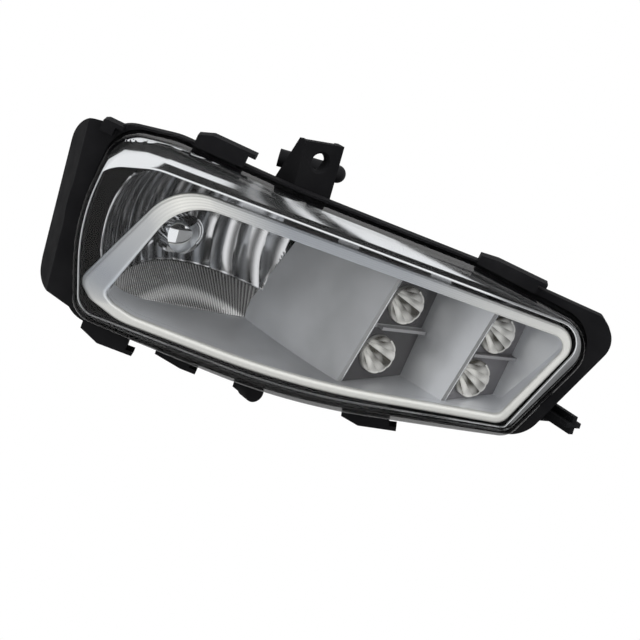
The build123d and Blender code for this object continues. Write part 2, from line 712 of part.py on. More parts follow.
bulb_seal = disc(SEAL_RADIUS, seal_back, seal_front) - disc(BASE_NECK, seal_back, seal_front)
save(beam * bulb_seal, "bulb_seal")

body_back = flange_back - BODY_LENGTH
drop = Pos(0, 0, flange_back) * Box(
    SOCKET_WIDTH, SOCKET_DROP, SOCKET_DEPTH, align=(Align.CENTER, Align.MAX, Align.MAX)
)
mouth_width = SOCKET_WIDTH - 2 * SOCKET_WALL
mouth_depth = SOCKET_DEPTH - 2 * SOCKET_WALL
mouth = Pos(0, -SOCKET_DROP, flange_back - SOCKET_WALL) * Box(
    mouth_width, SOCKET_FLOOR, mouth_depth, align=(Align.CENTER, Align.MIN, Align.MAX)
)
bulb_base = disc(BASE_RADIUS, flange_back, seal_back) + disc(BASE_NECK, seal_back, BASE_FRONT)
bulb_base += disc(BASE_BODY, body_back, flange_back) + drop - mouth
save(beam * bulb_base, "bulb_base")

bulb_terminals = Part()
for side in (-1, 1):
    bulb_terminals += Pos(
        side * BLADE_SPACING / 2, -SOCKET_DROP + SOCKET_FLOOR, flange_back - SOCKET_DEPTH / 2
    ) * Box(BLADE_WIDTH, BLADE_LENGTH, BLADE_WALL, align=(Align.CENTER, Align.MAX, Align.CENTER))
save(beam * bulb_terminals, "bulb_terminals")

# Bulb shield: a domed cup on a strap that stands on the reflector below the bulb.
rim_z = SHIELD_REAR
tip_z = SHIELD_REAR + SHIELD_LENGTH
inner_radius = SHIELD_RADIUS - SHIELD_WALL
dome_z = tip_z - SHIELD_DOME
cup_face = make_face(
    Polyline((0, rim_z), (SHIELD_RADIUS, rim_z), (SHIELD_RADIUS, dome_z), (0, dome_z), close=True)
)
ball_radius = (SHIELD_RADIUS**2 + SHIELD_DOME**2) / (2 * SHIELD_DOME)
cup = revolve(Plane.XZ * cup_face, Axis.Z) + (
    Pos(0, 0, tip_z - ball_radius) * Sphere(ball_radius) & disc(SHIELD_RADIUS, dome_z, tip_z)
)
cup -= disc(inner_radius, rim_z, dome_z - SHIELD_WALL)
strap = Pos(0, -STRAP_DROP, 0) * Box(
    STRAP_WIDTH, STRAP_WALL, rim_z + STRAP_WALL, align=(Align.CENTER, Align.MAX, Align.MIN)
)
foot_drop = STRAP_DROP + STRAP_WALL - SHIELD_RADIUS + SHIELD_WALL / 2
strap += Pos(0, -SHIELD_RADIUS + SHIELD_WALL / 2, rim_z) * Box(
    STRAP_WIDTH, foot_drop, STRAP_WALL, align=(Align.CENTER, Align.MAX, Align.MIN)
)
bulb_shield = beam * (cup + (strap & front_bowl))
save(bulb_shield, "bulb_shield")

# Rear connector shell with pins on the flat of the rear wall.
plug_y = SLOPE_END[1]
plug = Pos(PLUG_X, plug_y, PLUG_Z) * Rot(-90, 0, 0)
shell_box = Box(PLUG_WIDTH, PLUG_HEIGHT, PLUG_LENGTH, align=(Align.CENTER, Align.CENTER, Align.MIN))
shell_box = fillet(shell_box.edges().filter_by(Axis.Z), PLUG_WALL)
flange_w = PLUG_WIDTH + 2 * PLUG_FLANGE_EDGE
flange_h = PLUG_HEIGHT + 2 * PLUG_FLANGE_EDGE
flange = Box(flange_w, flange_h, PLUG_FLANGE, align=(Align.CENTER, Align.CENTER, Align.MIN))
cavity = Pos(0, 0, PLUG_FLANGE) * Box(
    PLUG_WIDTH - 2 * PLUG_WALL,
    PLUG_HEIGHT - 2 * PLUG_WALL,
    PLUG_LENGTH,
    align=(Align.CENTER, Align.CENTER, Align.MIN),
)
save(plug * (shell_box + flange - cavity), "connector_shell")
connector_pins = Part()
for i in range(PIN_COUNT):
    pin_x = (i - (PIN_COUNT - 1) / 2) * PIN_PITCH
    connector_pins += plug * Pos(pin_x, 0, PLUG_FLANGE) * Box(
        PIN_SIZE, PIN_SIZE, PIN_OUT, align=(Align.CENTER, Align.CENTER, Align.MIN)
    )
save(connector_pins, "connector_pins")

# Vent tube: a hose with a round closed end.
tube = Pos(VENT_X, VENT_Y, VENT_Z) * Rot(0, 90, 0)
vent_tube = tube * (capsule(VENT_RADIUS, 0, VENT_LENGTH) - disc(VENT_BORE, 0, VENT_LENGTH - 2 * VENT_RADIUS))
save(vent_tube, "vent_tube")

# Housing: bucket shell, rim with the lens groove, and everything moulded on it.
inside = bucket(WALL)
rim_window = slab(grown(lens_face, -RIM_LEDGE), -FAR, RIM_FRONT + RIM_DEPTH)
housing = bucket(0) - inside
housing += slab(drawn(RIM_EDGE), RIM_FRONT, RIM_FRONT + RIM_DEPTH)
for side, rows in ((1, CLAWS_ABOVE), (-1, CLAWS_BELOW)):
    for x, z, turn, length, height, start, ramp, root in rows:
        claw = Polyline(
            (0, -side * root),
            (0, side * start),
            (ramp, side * height),
            (length, side * height),
            (length, side * (height - CLAW_TIP_WALL)),
            (length - CLAW_TIP, side * (height - CLAW_TIP_WALL)),
            (length - CLAW_TIP, -side * root),
            close=True,
        )
        claw_face = Pos(x, z) * Rot(0, 0, turn) * make_face(claw)
        housing += slab(claw_face, CLAW_FRONT, RIM_FRONT + RIM_DEPTH)
housing -= rim_window
housing -= slab(grown(lens_face, GROOVE_PLAY), -FAR, RIM_FRONT)
housing -= slab(groove_face, RIM_FRONT, GROOVE_FLOOR)
for x, z in EARS:
    block = Pos(x, ear_back, z - EAR_BLOCK) * Box(
        EAR_WIDTH, RIM_FRONT + RIM_DEPTH - ear_back, FAR, align=(Align.CENTER, Align.MIN, Align.MIN)
    )
    housing += block & slab(grown(lens_face, -RIM_LEDGE + SEAT_GAP), ear_back, RIM_FRONT + RIM_DEPTH)
    housing -= Pos(x, panel_front, z) * Rot(90, 0, 0) * disc(SCREW_RADIUS, -SCREW_LENGTH, 0)

# Bracket: a plate square to the beam with two cheeks behind it, on the roof of the bucket.
bracket = aimed(BORE_X, BORE_Y, BORE_Z)
plate = Pos(0, -BRACKET_FOOT, 0) * Box(
    BRACKET_WIDTH, BRACKET_FOOT + BRACKET_TOP, BRACKET_PLATE, align=(Align.CENTER, Align.MIN, Align.CENTER)
)
plate_back = -BRACKET_PLATE / 2
cheek_face = make_face(
    Polyline(
        (-BRACKET_FOOT, plate_back),
        (BRACKET_TOP, plate_back),
        (BRACKET_TOP, plate_back - CHEEK_TOP),
        (-BRACKET_FOOT, plate_back - CHEEK_FOOT),
        close=True,
    )
)
for side in (-1, 1):
    cheek_x = side * (BRACKET_WIDTH - BRACKET_CHEEK) / 2
    plate += Pos(cheek_x, 0, 0) * extrude(Plane.YZ * cheek_face, amount=BRACKET_CHEEK / 2, both=True)
bore_rim = Cone(BORE_RADIUS, BORE_RADIUS + BORE_CHAMFER, BORE_CHAMFER)
plate -= disc(BORE_RADIUS, -BRACKET_PLATE, BRACKET_PLATE)
plate -= Pos(0, 0, BRACKET_PLATE / 2 - BORE_CHAMFER / 2) * bore_rim
housing += bracket * plate - inside

# Round boss and cross-shaped pin, pointing straight ahead.
boss = aimed(BOSS_X, BOSS_Y, BOSS_Z)
boss_body = disc(BOSS_RADIUS, 0, BOSS_LENGTH)
boss_body = fillet(boss_body.edges().sort_by(Axis.Z)[-1], BOSS_ROUND)
boss_body += Pos(0, BOSS_BLOCK_FOOT, 0) * Box(
    BOSS_BLOCK, BOSS_BLOCK_HEIGHT, BOSS_BLOCK_DEPTH, align=(Align.CENTER, Align.MIN, Align.MAX)
)
housing += boss * boss_body - inside - rim_window
cross = aimed(PIN_X, PIN_Y, PIN_Z)
web = Box(PIN_SPAN, PIN_WEB, PIN_LENGTH, align=(Align.CENTER, Align.CENTER, Align.MIN))
web = chamfer(web.faces().sort_by(Axis.Z)[-1].edges(), PIN_POINT)
arm = Pos(PIN_SPAN / 2, 0, 0) * Box(
    PIN_ARM, PIN_ARM_HEIGHT, PIN_ARM_WALL, align=(Align.MAX, Align.CENTER, Align.MAX)
)
cross_pin = web + Rot(0, 0, 90) * web + arm
housing += cross * cross_pin - inside - rim_window - slab(groove_face, RIM_FRONT, GROOVE_FLOOR)

# Saddles of the vent tube.
for at in SADDLE_AT:
    saddle = Pos(VENT_X + at, VENT_Y, VENT_Z) * Box(
        SADDLE_WALL, SADDLE_WIDTH, FAR / 12, align=(Align.CENTER, Align.CENTER, Align.MAX)
    )
    housing += saddle - inside - tube * disc(VENT_RADIUS, -FAR, FAR)

# Bulb seat, its hole, and the ribs of the slanting rear wall.
housing += beam * disc(BOSS_RING, seal_front, -wall_back)
housing -= beam * disc(BULB_HOLE, seal_front, 0)
for i in range(RIB_COUNT):
    rib_x = RIB_FIRST + i * RIB_PITCH
    share = (rib_x - SLOPE_START[0]) / (SLOPE_END[0] - SLOPE_START[0])
    rib_y = SLOPE_START[1] + share * (SLOPE_END[1] - SLOPE_START[1])
    rear_rib = Pos(rib_x, rib_y, CELL_Z / 2) * Box(REAR_RIB, 2 * REAR_RIB_HEIGHT, REAR_RIB_SPAN)
    housing += rear_rib - inside
save(housing, "housing")
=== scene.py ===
# %% [markdown]
# # A daytime running light, dressed for a studio picture
# The lamp arrives as a frame of plain solids: a black housing, a clear cover and everything
# that sits behind the cover. This lesson keeps those solids where they are, gives each of them
# a finish that behaves like the real surface, and replaces the few pieces whose beauty is in a
# smooth curve with surfaces worked out from formulas.

# %% Load the frame
import math

import bmesh
import bpy
import numpy as np
from mathutils import Matrix, Vector


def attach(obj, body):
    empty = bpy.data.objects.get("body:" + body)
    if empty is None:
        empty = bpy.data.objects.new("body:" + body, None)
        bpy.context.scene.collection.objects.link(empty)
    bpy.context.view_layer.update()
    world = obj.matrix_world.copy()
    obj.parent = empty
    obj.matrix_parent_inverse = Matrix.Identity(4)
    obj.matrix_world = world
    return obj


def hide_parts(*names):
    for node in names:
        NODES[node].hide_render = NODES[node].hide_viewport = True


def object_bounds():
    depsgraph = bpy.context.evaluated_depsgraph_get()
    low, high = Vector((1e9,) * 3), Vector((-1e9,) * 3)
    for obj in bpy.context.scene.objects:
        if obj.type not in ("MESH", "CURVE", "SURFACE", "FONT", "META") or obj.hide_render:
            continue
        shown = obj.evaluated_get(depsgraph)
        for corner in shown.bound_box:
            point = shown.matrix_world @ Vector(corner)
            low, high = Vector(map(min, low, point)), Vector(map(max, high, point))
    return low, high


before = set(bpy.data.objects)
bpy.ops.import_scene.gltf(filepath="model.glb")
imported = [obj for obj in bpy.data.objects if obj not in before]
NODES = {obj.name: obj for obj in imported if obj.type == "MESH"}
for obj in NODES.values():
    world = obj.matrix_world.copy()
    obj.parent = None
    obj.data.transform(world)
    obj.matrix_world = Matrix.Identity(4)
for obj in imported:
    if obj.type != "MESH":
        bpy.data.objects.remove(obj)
CAD_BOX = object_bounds()
MM = 0.001
print("solids in the frame:", len(NODES))

# %% [markdown]
# ## The camera
# The picture was taken from a little above, with the lamp turned clockwise in the frame. A
# camera can be aimed with constraints, but three unit vectors say it more plainly: where it
# looks, which way is right and which way is up. Rolling the camera anticlockwise turns the
# lamp clockwise in the picture.

# %% Aim the camera
LENS_MIDDLE = Vector((21.1, -25.0, -55.3)) * MM
ELEVATION = math.radians(14.0)
ROLL = math.radians(16.0)
DISTANCE = 1150.0 * MM
FRAME_WIDTH = 352.0 * MM
AIM_RIGHT = -2.75 * MM
AIM_UP = -24.75 * MM
SENSOR = 36.0
CLIP_START = 0.01

look = Vector((0.0, math.cos(ELEVATION), -math.sin(ELEVATION)))
level_up = Vector((0.0, math.sin(ELEVATION), math.cos(ELEVATION)))
level_right = Vector((1.0, 0.0, 0.0))
right = level_right * math.cos(ROLL) + level_up * math.sin(ROLL)
up = level_up * math.cos(ROLL) - level_right * math.sin(ROLL)
target = LENS_MIDDLE + right * AIM_RIGHT + up * AIM_UP
eye = target - look * DISTANCE

camera_data = bpy.data.cameras.new("studio_camera")
camera_data.sensor_width = SENSOR
camera_data.lens = SENSOR * DISTANCE / FRAME_WIDTH
camera_data.clip_start = CLIP_START
camera = bpy.data.objects.new("studio_camera", camera_data)
turn = Matrix((right, up, -look)).transposed().to_4x4()
camera.matrix_world = Matrix.Translation(eye) @ turn
bpy.context.scene.collection.objects.link(camera)
bpy.context.scene.camera = camera
bpy.context.scene.view_settings.view_transform = "Standard"
print("camera lens in mm:", round(camera_data.lens, 1))

# %% [markdown]
# ## Turning arrays into meshes
# Every new piece is a grid of points: one direction runs round the piece and the other across its
# section. Numbering the corners of all the faces at once is quicker than visiting them one by one,
# and it keeps the formula of the shape in plain sight. A piece can carry a tone, a colour at each
# point, which here holds painted light, shade and reflections, besides changes of the finish along
# the piece.

# %% Grid to mesh
SAME_PLACE = 1e-7


def grid_piece(name, grid, wrap=True, tone=None):
    """Mesh object from points (rows, columns, 3): each cell of the grid becomes one quad.

    Columns are joined end to end when wrap is true. A row that has shrunk to a point is a pole,
    and its coinciding corners are merged.
    """
    rows, columns = grid.shape[:2]
    index = np.arange(rows * columns).reshape(rows, columns)
    beside = np.roll(index, -1, axis=1) if wrap else index[:, 1:]
    here = index if wrap else index[:, :-1]
    quads = np.stack((here[:-1], here[1:], beside[1:], beside[:-1]), axis=-1).reshape(-1, 4)
    mesh = bpy.data.meshes.new(name)
    mesh.from_pydata(grid.reshape(-1, 3).tolist(), [], quads.tolist())
    if tone is not None:
        colours = np.ones((rows * columns, 4))
        colours[:, :3] = np.broadcast_to(tone, grid.shape).reshape(-1, 3)
        layer = mesh.attributes.new("tone", "FLOAT_COLOR", "POINT")
        layer.data.foreach_set("color", colours.ravel())
    piece = bpy.data.objects.new(name, mesh)
    bpy.context.scene.collection.objects.link(piece)
    tidy_mesh(mesh)
    mesh.polygons.foreach_set("use_smooth", np.ones(len(mesh.polygons), dtype=bool))
    return piece


def tidy_mesh(mesh):
    """Merges coinciding corners and turns every face of a closed shape outwards."""
    work = bmesh.new()
    work.from_mesh(mesh)
    bmesh.ops.remove_doubles(work, verts=work.verts, dist=SAME_PLACE)
    bmesh.ops.recalc_face_normals(work, faces=work.faces)
    work.to_mesh(mesh)
    work.free()


def keep_piece(piece, finish, slot, *nodes):
    """Hands a finished piece to the frame: its finish and the solids it stands for. The slot is
    not used.
    """
    piece.data.materials.append(finish)
    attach(piece, "root")
    if nodes:
        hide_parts(*nodes)
    print(piece.name, "faces:", len(piece.data.polygons))


# %% [markdown]
# ## Outlines with rounded corners
# The cover, the bezel and the light guide are drawn from the front as polygons with rounded
# corners. Each corner becomes an arc, and the straight runs between arcs are divided evenly, so
# two outlines with the same number of corners can be matched point by point.


# %% Rounded outlines
def rounded_outline(corners, per_arc, per_run):
    """Points of a closed polygon whose corners are arcs.

    A corner's arc touches both sides at radius / tan(half the corner's angle) from the corner.
    The points along it are turned from the first touching point about the arc's centre.
    """
    rows = np.asarray(corners)
    point, radius = rows[:, :2], rows[:, 2:]
    before = np.roll(point, 1, axis=0) - point
    after = np.roll(point, -1, axis=0) - point
    before /= np.linalg.norm(before, axis=1, keepdims=True)
    after /= np.linalg.norm(after, axis=1, keepdims=True)
    half = np.arccos(np.sum(before * after, axis=1, keepdims=True)) / 2
    reach = radius / np.tan(half)
    middle = before + after
    middle /= np.linalg.norm(middle, axis=1, keepdims=True)
    centre = point + middle * radius / np.sin(half)
    start = point + before * reach - centre
    end = point + after * reach - centre
    cross = start[:, 0] * end[:, 1] - start[:, 1] * end[:, 0]
    sweep = np.sign(cross)[:, None] * (np.pi - 2 * half)
    angle = sweep * np.linspace(0.0, 1.0, per_arc)
    cos, sin = np.cos(angle), np.sin(angle)
    arc_x = centre[:, :1] + cos * start[:, :1] - sin * start[:, 1:]
    arc_z = centre[:, 1:] + sin * start[:, :1] + cos * start[:, 1:]
    arcs = np.stack((arc_x, arc_z), axis=-1)
    leave = arcs[:, -1][:, None]
    arrive = np.roll(arcs[:, 0], -1, axis=0)[:, None]
    share = np.linspace(0.0, 1.0, per_run + 2)[1:-1, None]
    runs = leave + (arrive - leave) * share
    return np.concatenate((arcs, runs), axis=1).reshape(-1, 2)


def outward(outline):
    """Unit normals that point out of a closed outline drawn clockwise as seen from the front."""
    along = np.roll(outline, -1, axis=0) - np.roll(outline, 1, axis=0)
    along /= np.linalg.norm(along, axis=1, keepdims=True)
    return np.stack((-along[:, 1], along[:, 0]), axis=-1)


def placed(x, y, z):
    """Points in the frame, in metres, from millimetres about the middle of the lens."""
    return np.stack((x, y, z), axis=-1) * MM + np.array(LENS_MIDDLE)


# %% [markdown]
# ## Finishes
# A finish is a small network of nodes. Plain numbers that are the same all over go straight
# onto the shader, and what varies over the surface comes from noise in object coordinates, so
# the pattern stays with the piece from any side.

# %% Helpers for finishes
NOISE_LOW, NOISE_HIGH = 0.3, 0.7


def new_finish(name, colour, roughness, metallic=0.0, gloss=0.5):
    """A material with one Principled shader, and that shader."""
    finish = bpy.data.materials.new(name)
    finish.use_nodes = True
    shader = finish.node_tree.nodes["Principled BSDF"]
    shader.inputs["Base Color"].default_value = (*colour, 1.0)
    shader.inputs["Roughness"].default_value = roughness
    shader.inputs["Metallic"].default_value = metallic
    shader.inputs["Specular IOR Level"].default_value = gloss
    return finish, shader


def noise_of(finish, per_metre, detail=3.0):
    """Noise in object coordinates; per_metre is how many waves fit in a metre."""
    nodes, links = finish.node_tree.nodes, finish.node_tree.links
    where = nodes.new("ShaderNodeTexCoord")
    noise = nodes.new("ShaderNodeTexNoise")
    noise.inputs["Scale"].default_value = per_metre
    noise.inputs["Detail"].default_value = detail
    links.new(where.outputs["Object"], noise.inputs["Vector"])
    return noise.outputs["Fac"]


def vary_colour(finish, shader, per_metre, dark, light):
    """Base colour that drifts between two shades over the surface."""
    nodes, links = finish.node_tree.nodes, finish.node_tree.links
    ramp = nodes.new("ShaderNodeValToRGB")
    ramp.color_ramp.elements[0].position = NOISE_LOW
    ramp.color_ramp.elements[1].position = NOISE_HIGH
    ramp.color_ramp.elements[0].color = (*dark, 1.0)
    ramp.color_ramp.elements[1].color = (*light, 1.0)
    links.new(noise_of(finish, per_metre), ramp.inputs["Fac"])
    links.new(ramp.outputs["Color"], shader.inputs["Base Color"])


def vary_roughness(finish, shader, per_metre, low, high):
    """Roughness that drifts between two values over the surface."""
    nodes, links = finish.node_tree.nodes, finish.node_tree.links
    span = nodes.new("ShaderNodeMapRange")
    span.inputs["From Min"].default_value = NOISE_LOW
    span.inputs["From Max"].default_value = NOISE_HIGH
    span.inputs["To Min"].default_value = low
    span.inputs["To Max"].default_value = high
    links.new(noise_of(finish, per_metre), span.inputs["Value"])
    links.new(span.outputs["Result"], shader.inputs["Roughness"])


def grain(finish, shader, per_metre, depth, strength=1.0):
    """Fine bump of the given depth in metres, as a mould leaves on plastic."""
    nodes, links = finish.node_tree.nodes, finish.node_tree.links
    bump = nodes.new("ShaderNodeBump")
    bump.inputs["Distance"].default_value = depth
    bump.inputs["Strength"].default_value = strength
    links.new(noise_of(finish, per_metre), bump.inputs["Height"])
    links.new(bump.outputs["Normal"], shader.inputs["Normal"])


def tone_of(finish):
    """Output of a node that reads the tone a piece carries at its points."""
    tone = finish.node_tree.nodes.new("ShaderNodeAttribute")
    tone.attribute_name = "tone"
    return tone.outputs["Color"]


def read_tone(finish, shader):
    """Base colour from the tone of the piece."""
    finish.node_tree.links.new(tone_of(finish), shader.inputs["Base Color"])


def dress(finish, *names):
    """Gives a finish to solids of the frame by name."""
    for name in names:
        mesh = NODES[name].data
        mesh.materials.clear()
        mesh.materials.append(finish)
    print(finish.name, "on", ", ".join(names))


# %% [markdown]
# ### Clear plastic
# The cover is a thin clear wall. Bending light through it would make the lamps miss everything
# behind it, so the wall lets light straight through and only mirrors a little, and more at a
# glancing angle. The share that is mirrored follows the usual approximation: a least share head
# on, plus the fifth power of one minus the cosine for the rest. Coated plastic has a smaller
# least share than plain glass.

# %% Clear finishes
GLANCE_POWER = 5.0


def clear_finish(name, tint, roughness, least=0.04, most=1.0, painted_wall_shade=False):
    """See-through finish that mirrors between the least share head on and the most at the edge.

    Where the tone is asked for, the tint comes from the tone of the piece, which paints shade onto
    walls that trap their light.
    """
    finish = bpy.data.materials.new(name)
    finish.use_nodes = True
    nodes, links = finish.node_tree.nodes, finish.node_tree.links
    nodes.remove(nodes["Principled BSDF"])
    through = nodes.new("ShaderNodeBsdfTransparent")
    through.inputs["Color"].default_value = (*tint, 1.0)
    if painted_wall_shade:
        links.new(tone_of(finish), through.inputs["Color"])
    mirror = nodes.new("ShaderNodeBsdfGlossy")
    mirror.inputs["Roughness"].default_value = roughness
    facing = nodes.new("ShaderNodeLayerWeight")
    facing.inputs["Blend"].default_value = 0.5
    steep = nodes.new("ShaderNodeMath")
    steep.operation = "POWER"
    steep.inputs[1].default_value = GLANCE_POWER
    share = nodes.new("ShaderNodeMapRange")
    share.inputs["To Min"].default_value = least
    share.inputs["To Max"].default_value = most
    mix = nodes.new("ShaderNodeMixShader")
    links.new(facing.outputs["Facing"], steep.inputs[0])
    links.new(steep.outputs["Value"], share.inputs["Value"])
    links.new(share.outputs["Result"], mix.inputs["Fac"])
    links.new(through.outputs["BSDF"], mix.inputs[1])
    links.new(mirror.outputs["BSDF"], mix.inputs[2])
    links.new(mix.outputs["Shader"], nodes["Material Output"].inputs["Surface"])
    return finish


COVER_TINT = (0.97, 0.98, 0.985)
CLEAR_COVER = clear_finish(
    "clear_cover_finish", COVER_TINT, roughness=0.02, least=0.012, most=0.6, painted_wall_shade=True
)
BULB_CLEAR = clear_finish("bulb_glass_finish", (0.96, 0.96, 0.96), roughness=0.01)
dress(BULB_CLEAR, "bulb_glass")

# %% [markdown]
# ### Bright metal
# The bezel, the shield and the fog reflector are plastic with a metal film. They have almost no
# colour of their own and show what is around them, so they want a low roughness with a faint
# unevenness, and something dark in the studio to mirror beside the white. The reflector also reads
# a tone, which paints darker streaks of reflection onto its facets.

# %% Bright finishes
BRIGHT_CHROME, chrome = new_finish("bright_chrome_finish", (0.86, 0.88, 0.9), 0.06, metallic=1.0)
vary_roughness(BRIGHT_CHROME, chrome, per_metre=60.0, low=0.04, high=0.09)
dress(BRIGHT_CHROME, "bulb_shield")

REFLECTOR_SILVER, silver = new_finish(
    "reflector_silver_finish", (0.54, 0.55, 0.565), 0.12, metallic=1.0
)
vary_roughness(REFLECTOR_SILVER, silver, per_metre=90.0, low=0.09, high=0.16)
read_tone(REFLECTOR_SILVER, silver)
print("bright finishes ready")

# %% [markdown]
# ### Painted light and shade by place
# The panel around the LEDs is metallised over a fine texture, so it is grey and soft, and its grey
# is painted lighter and darker along the lamp as painted light and shade, for the parts of the
# room it mirrors there. The front edges of its risers get a painted shade, and the dark carriers
# get a painted highlight on a rib between two optics. Each of these could be painted by hand, but
# a solid has one finish, so the shade follows an object coordinate: a colour ramp along X, blurred
# by noise, for the drift, and a narrow range of one coordinate for an edge or a rib.

# %% Helpers for shades
DRIFT_BLUR = 0.06
DRIFT_WAVES = 30.0


def coordinate_of(finish, axis):
    """Output of nodes that give one object coordinate in metres."""
    nodes, links = finish.node_tree.nodes, finish.node_tree.links
    where = nodes.new("ShaderNodeTexCoord")
    parts = nodes.new("ShaderNodeSeparateXYZ")
    links.new(where.outputs["Object"], parts.inputs["Vector"])
    return parts.outputs[axis]


def socket_of(sockets, identifier):
    """One of several sockets that share a name, as the colours of a Mix node do."""
    return next(socket for socket in sockets if socket.identifier == identifier)


def shade_at(finish, shader, axis, level, reach, colour):
    """Another colour where one object coordinate lies within reach of a level."""
    nodes, links = finish.node_tree.nodes, finish.node_tree.links
    inside = nodes.new("ShaderNodeMath")
    inside.operation = "COMPARE"
    inside.inputs[1].default_value = level
    inside.inputs[2].default_value = reach
    mix = nodes.new("ShaderNodeMix")
    mix.data_type = "RGBA"
    old = shader.inputs["Base Color"].links[0].from_socket
    links.new(coordinate_of(finish, axis), inside.inputs[0])
    links.new(inside.outputs["Value"], mix.inputs["Factor"])
    links.new(old, socket_of(mix.inputs, "A_Color"))
    socket_of(mix.inputs, "B_Color").default_value = (*colour, 1.0)
    links.new(socket_of(mix.outputs, "Result_Color"), shader.inputs["Base Color"])


def paint_light_along(finish, shader, stops, tint):
    """Base colour painted lighter and darker along the lamp as painted light and shade, blurred a
    little by noise.

    Each stop is a place along X in metres and a brightness; tint colours them all.
    """
    nodes, links = finish.node_tree.nodes, finish.node_tree.links
    first, last = stops[0][0], stops[-1][0]
    span = nodes.new("ShaderNodeMapRange")
    span.inputs["From Min"].default_value = first + DRIFT_BLUR / 2
    span.inputs["From Max"].default_value = last + DRIFT_BLUR / 2
    blur = nodes.new("ShaderNodeMath")
    blur.operation = "MULTIPLY_ADD"
    blur.inputs[1].default_value = DRIFT_BLUR
    ramp = nodes.new("ShaderNodeValToRGB")
    while len(ramp.color_ramp.elements) < len(stops):
        ramp.color_ramp.elements.new(0.5)
    for element, (place, bright) in zip(ramp.color_ramp.elements, stops):
        element.position = (place - first) / (last - first)
        element.color = (*(bright * share for share in tint), 1.0)
    links.new(noise_of(finish, DRIFT_WAVES), blur.inputs[0])
    links.new(coordinate_of(finish, "X"), blur.inputs[2])
    links.new(blur.outputs["Value"], span.inputs["Value"])
    links.new(span.outputs["Result"], ramp.inputs["Fac"])
    links.new(ramp.outputs["Color"], shader.inputs["Base Color"])


# %% [markdown]
# ### Satin silver and dark carriers
# The satin is between paint and metal, so it is only partly metallic and rather rough. The
# carriers are a dark moulding with a fine grain, painted lighter in the second cell, which is
# shallower and gets more light.

# %% Satin and carriers
RISER_FRONT, RISER_FRONT_REACH = 8.0, 0.06
RISER_FRONT_PAINTED_SHADE = (0.32, 0.325, 0.33)
# painted light and shade: the satin is painted lighter and darker along X, where it mirrors other
# parts of the room
SATIN_PAINTED_LIGHT_STOPS = [
    (-0.09, 1.0),
    (-0.02, 0.7),
    (0.035, 0.4),
    (0.075, 0.56),
    (0.105, 0.86),
    (0.15, 1.0),
]
SATIN_SILVER, satin = new_finish("satin_silver_finish", (0.6, 0.61, 0.62), 0.36, metallic=0.6)
paint_light_along(SATIN_SILVER, satin, SATIN_PAINTED_LIGHT_STOPS, tint=(0.94, 0.965, 1.0))
vary_roughness(SATIN_SILVER, satin, per_metre=40.0, low=0.33, high=0.4)
front_y = LENS_MIDDLE.y + RISER_FRONT * MM
# painted shade: a narrow band at the risers' front edges is painted darker
shade_at(SATIN_SILVER, satin, "Y", front_y, RISER_FRONT_REACH * MM, RISER_FRONT_PAINTED_SHADE)
dress(SATIN_SILVER, "inner_panel")

RIB_HEIGHT, RIB_REACH = -23.2, 1.2
RIB_PAINTED_HIGHLIGHT = (0.36, 0.36, 0.37)
# painted light: the carriers are painted lighter along X, most in the second cell
CARRIER_PAINTED_LIGHT_STOPS = [(0.04, 0.06), (0.09, 0.085), (0.11, 0.22), (0.15, 0.22)]
DARK_CARRIER, carrier = new_finish("dark_carrier_finish", (0.045, 0.042, 0.047), 0.4, metallic=0.3)
paint_light_along(DARK_CARRIER, carrier, CARRIER_PAINTED_LIGHT_STOPS, tint=(0.97, 0.95, 1.0))
rib_z = LENS_MIDDLE.z + RIB_HEIGHT * MM
# painted highlight: a narrow band along the carriers' rib is painted lighter
shade_at(DARK_CARRIER, carrier, "Z", rib_z, RIB_REACH * MM, RIB_PAINTED_HIGHLIGHT)
grain(DARK_CARRIER, carrier, per_metre=2500.0, depth=0.03 * MM, strength=0.3)
dress(DARK_CARRIER, "led_carrier_1", "led_carrier_2")

# %% [markdown]
# ### Black mouldings
# The housing is black plastic with the grain of its mould, and the seals and the tube are a
# softer black. Black plastic is never one flat black: its shade and its roughness drift a
# little, and the grain breaks up its shine.

# %% Black finishes
BLACK_HOUSING, black = new_finish("black_housing_finish", (0.011, 0.011, 0.012), 0.7, gloss=0.02)
vary_colour(BLACK_HOUSING, black, 40.0, (0.009, 0.009, 0.01), (0.014, 0.014, 0.015))
vary_roughness(BLACK_HOUSING, black, per_metre=90.0, low=0.65, high=0.8)
grain(BLACK_HOUSING, black, per_metre=1800.0, depth=0.06 * MM, strength=0.4)
dress(BLACK_HOUSING, "housing", "bulb_base", "connector_shell")

SOFT_BLACK, soft = new_finish("soft_black_finish", (0.012, 0.012, 0.013), 0.6, gloss=0.08)
vary_colour(SOFT_BLACK, soft, 120.0, (0.009, 0.009, 0.01), (0.017, 0.017, 0.018))
grain(SOFT_BLACK, soft, per_metre=1500.0, depth=0.05 * MM, strength=0.5)
dress(SOFT_BLACK, "vent_tube", "bulb_seal", "lens_seal")

# %% [markdown]
# ### Small working parts
# Boards, heat sinks, contacts and screws hide behind the panel or on the back, and still get
# their own finish, because the part is also looked at from behind and taken apart.

# %% Working finishes
BOARD_GREEN, board = new_finish("board_green_finish", (0.04, 0.2, 0.09), 0.3)
vary_colour(BOARD_GREEN, board, 300.0, (0.03, 0.17, 0.08), (0.05, 0.24, 0.11))
dress(BOARD_GREEN, "led_board_1", "led_board_2")

EMITTER_YELLOW, emitter = new_finish("emitter_yellow_finish", (0.85, 0.72, 0.2), 0.35)
vary_colour(EMITTER_YELLOW, emitter, 900.0, (0.8, 0.66, 0.16), (0.9, 0.78, 0.26))
dress(EMITTER_YELLOW, "led_emitters")

SINK_ALUMINIUM, sink = new_finish("sink_aluminium_finish", (0.7, 0.71, 0.72), 0.4, metallic=1.0)
vary_roughness(SINK_ALUMINIUM, sink, per_metre=200.0, low=0.32, high=0.48)
dress(SINK_ALUMINIUM, "heat_sink_1", "heat_sink_2")

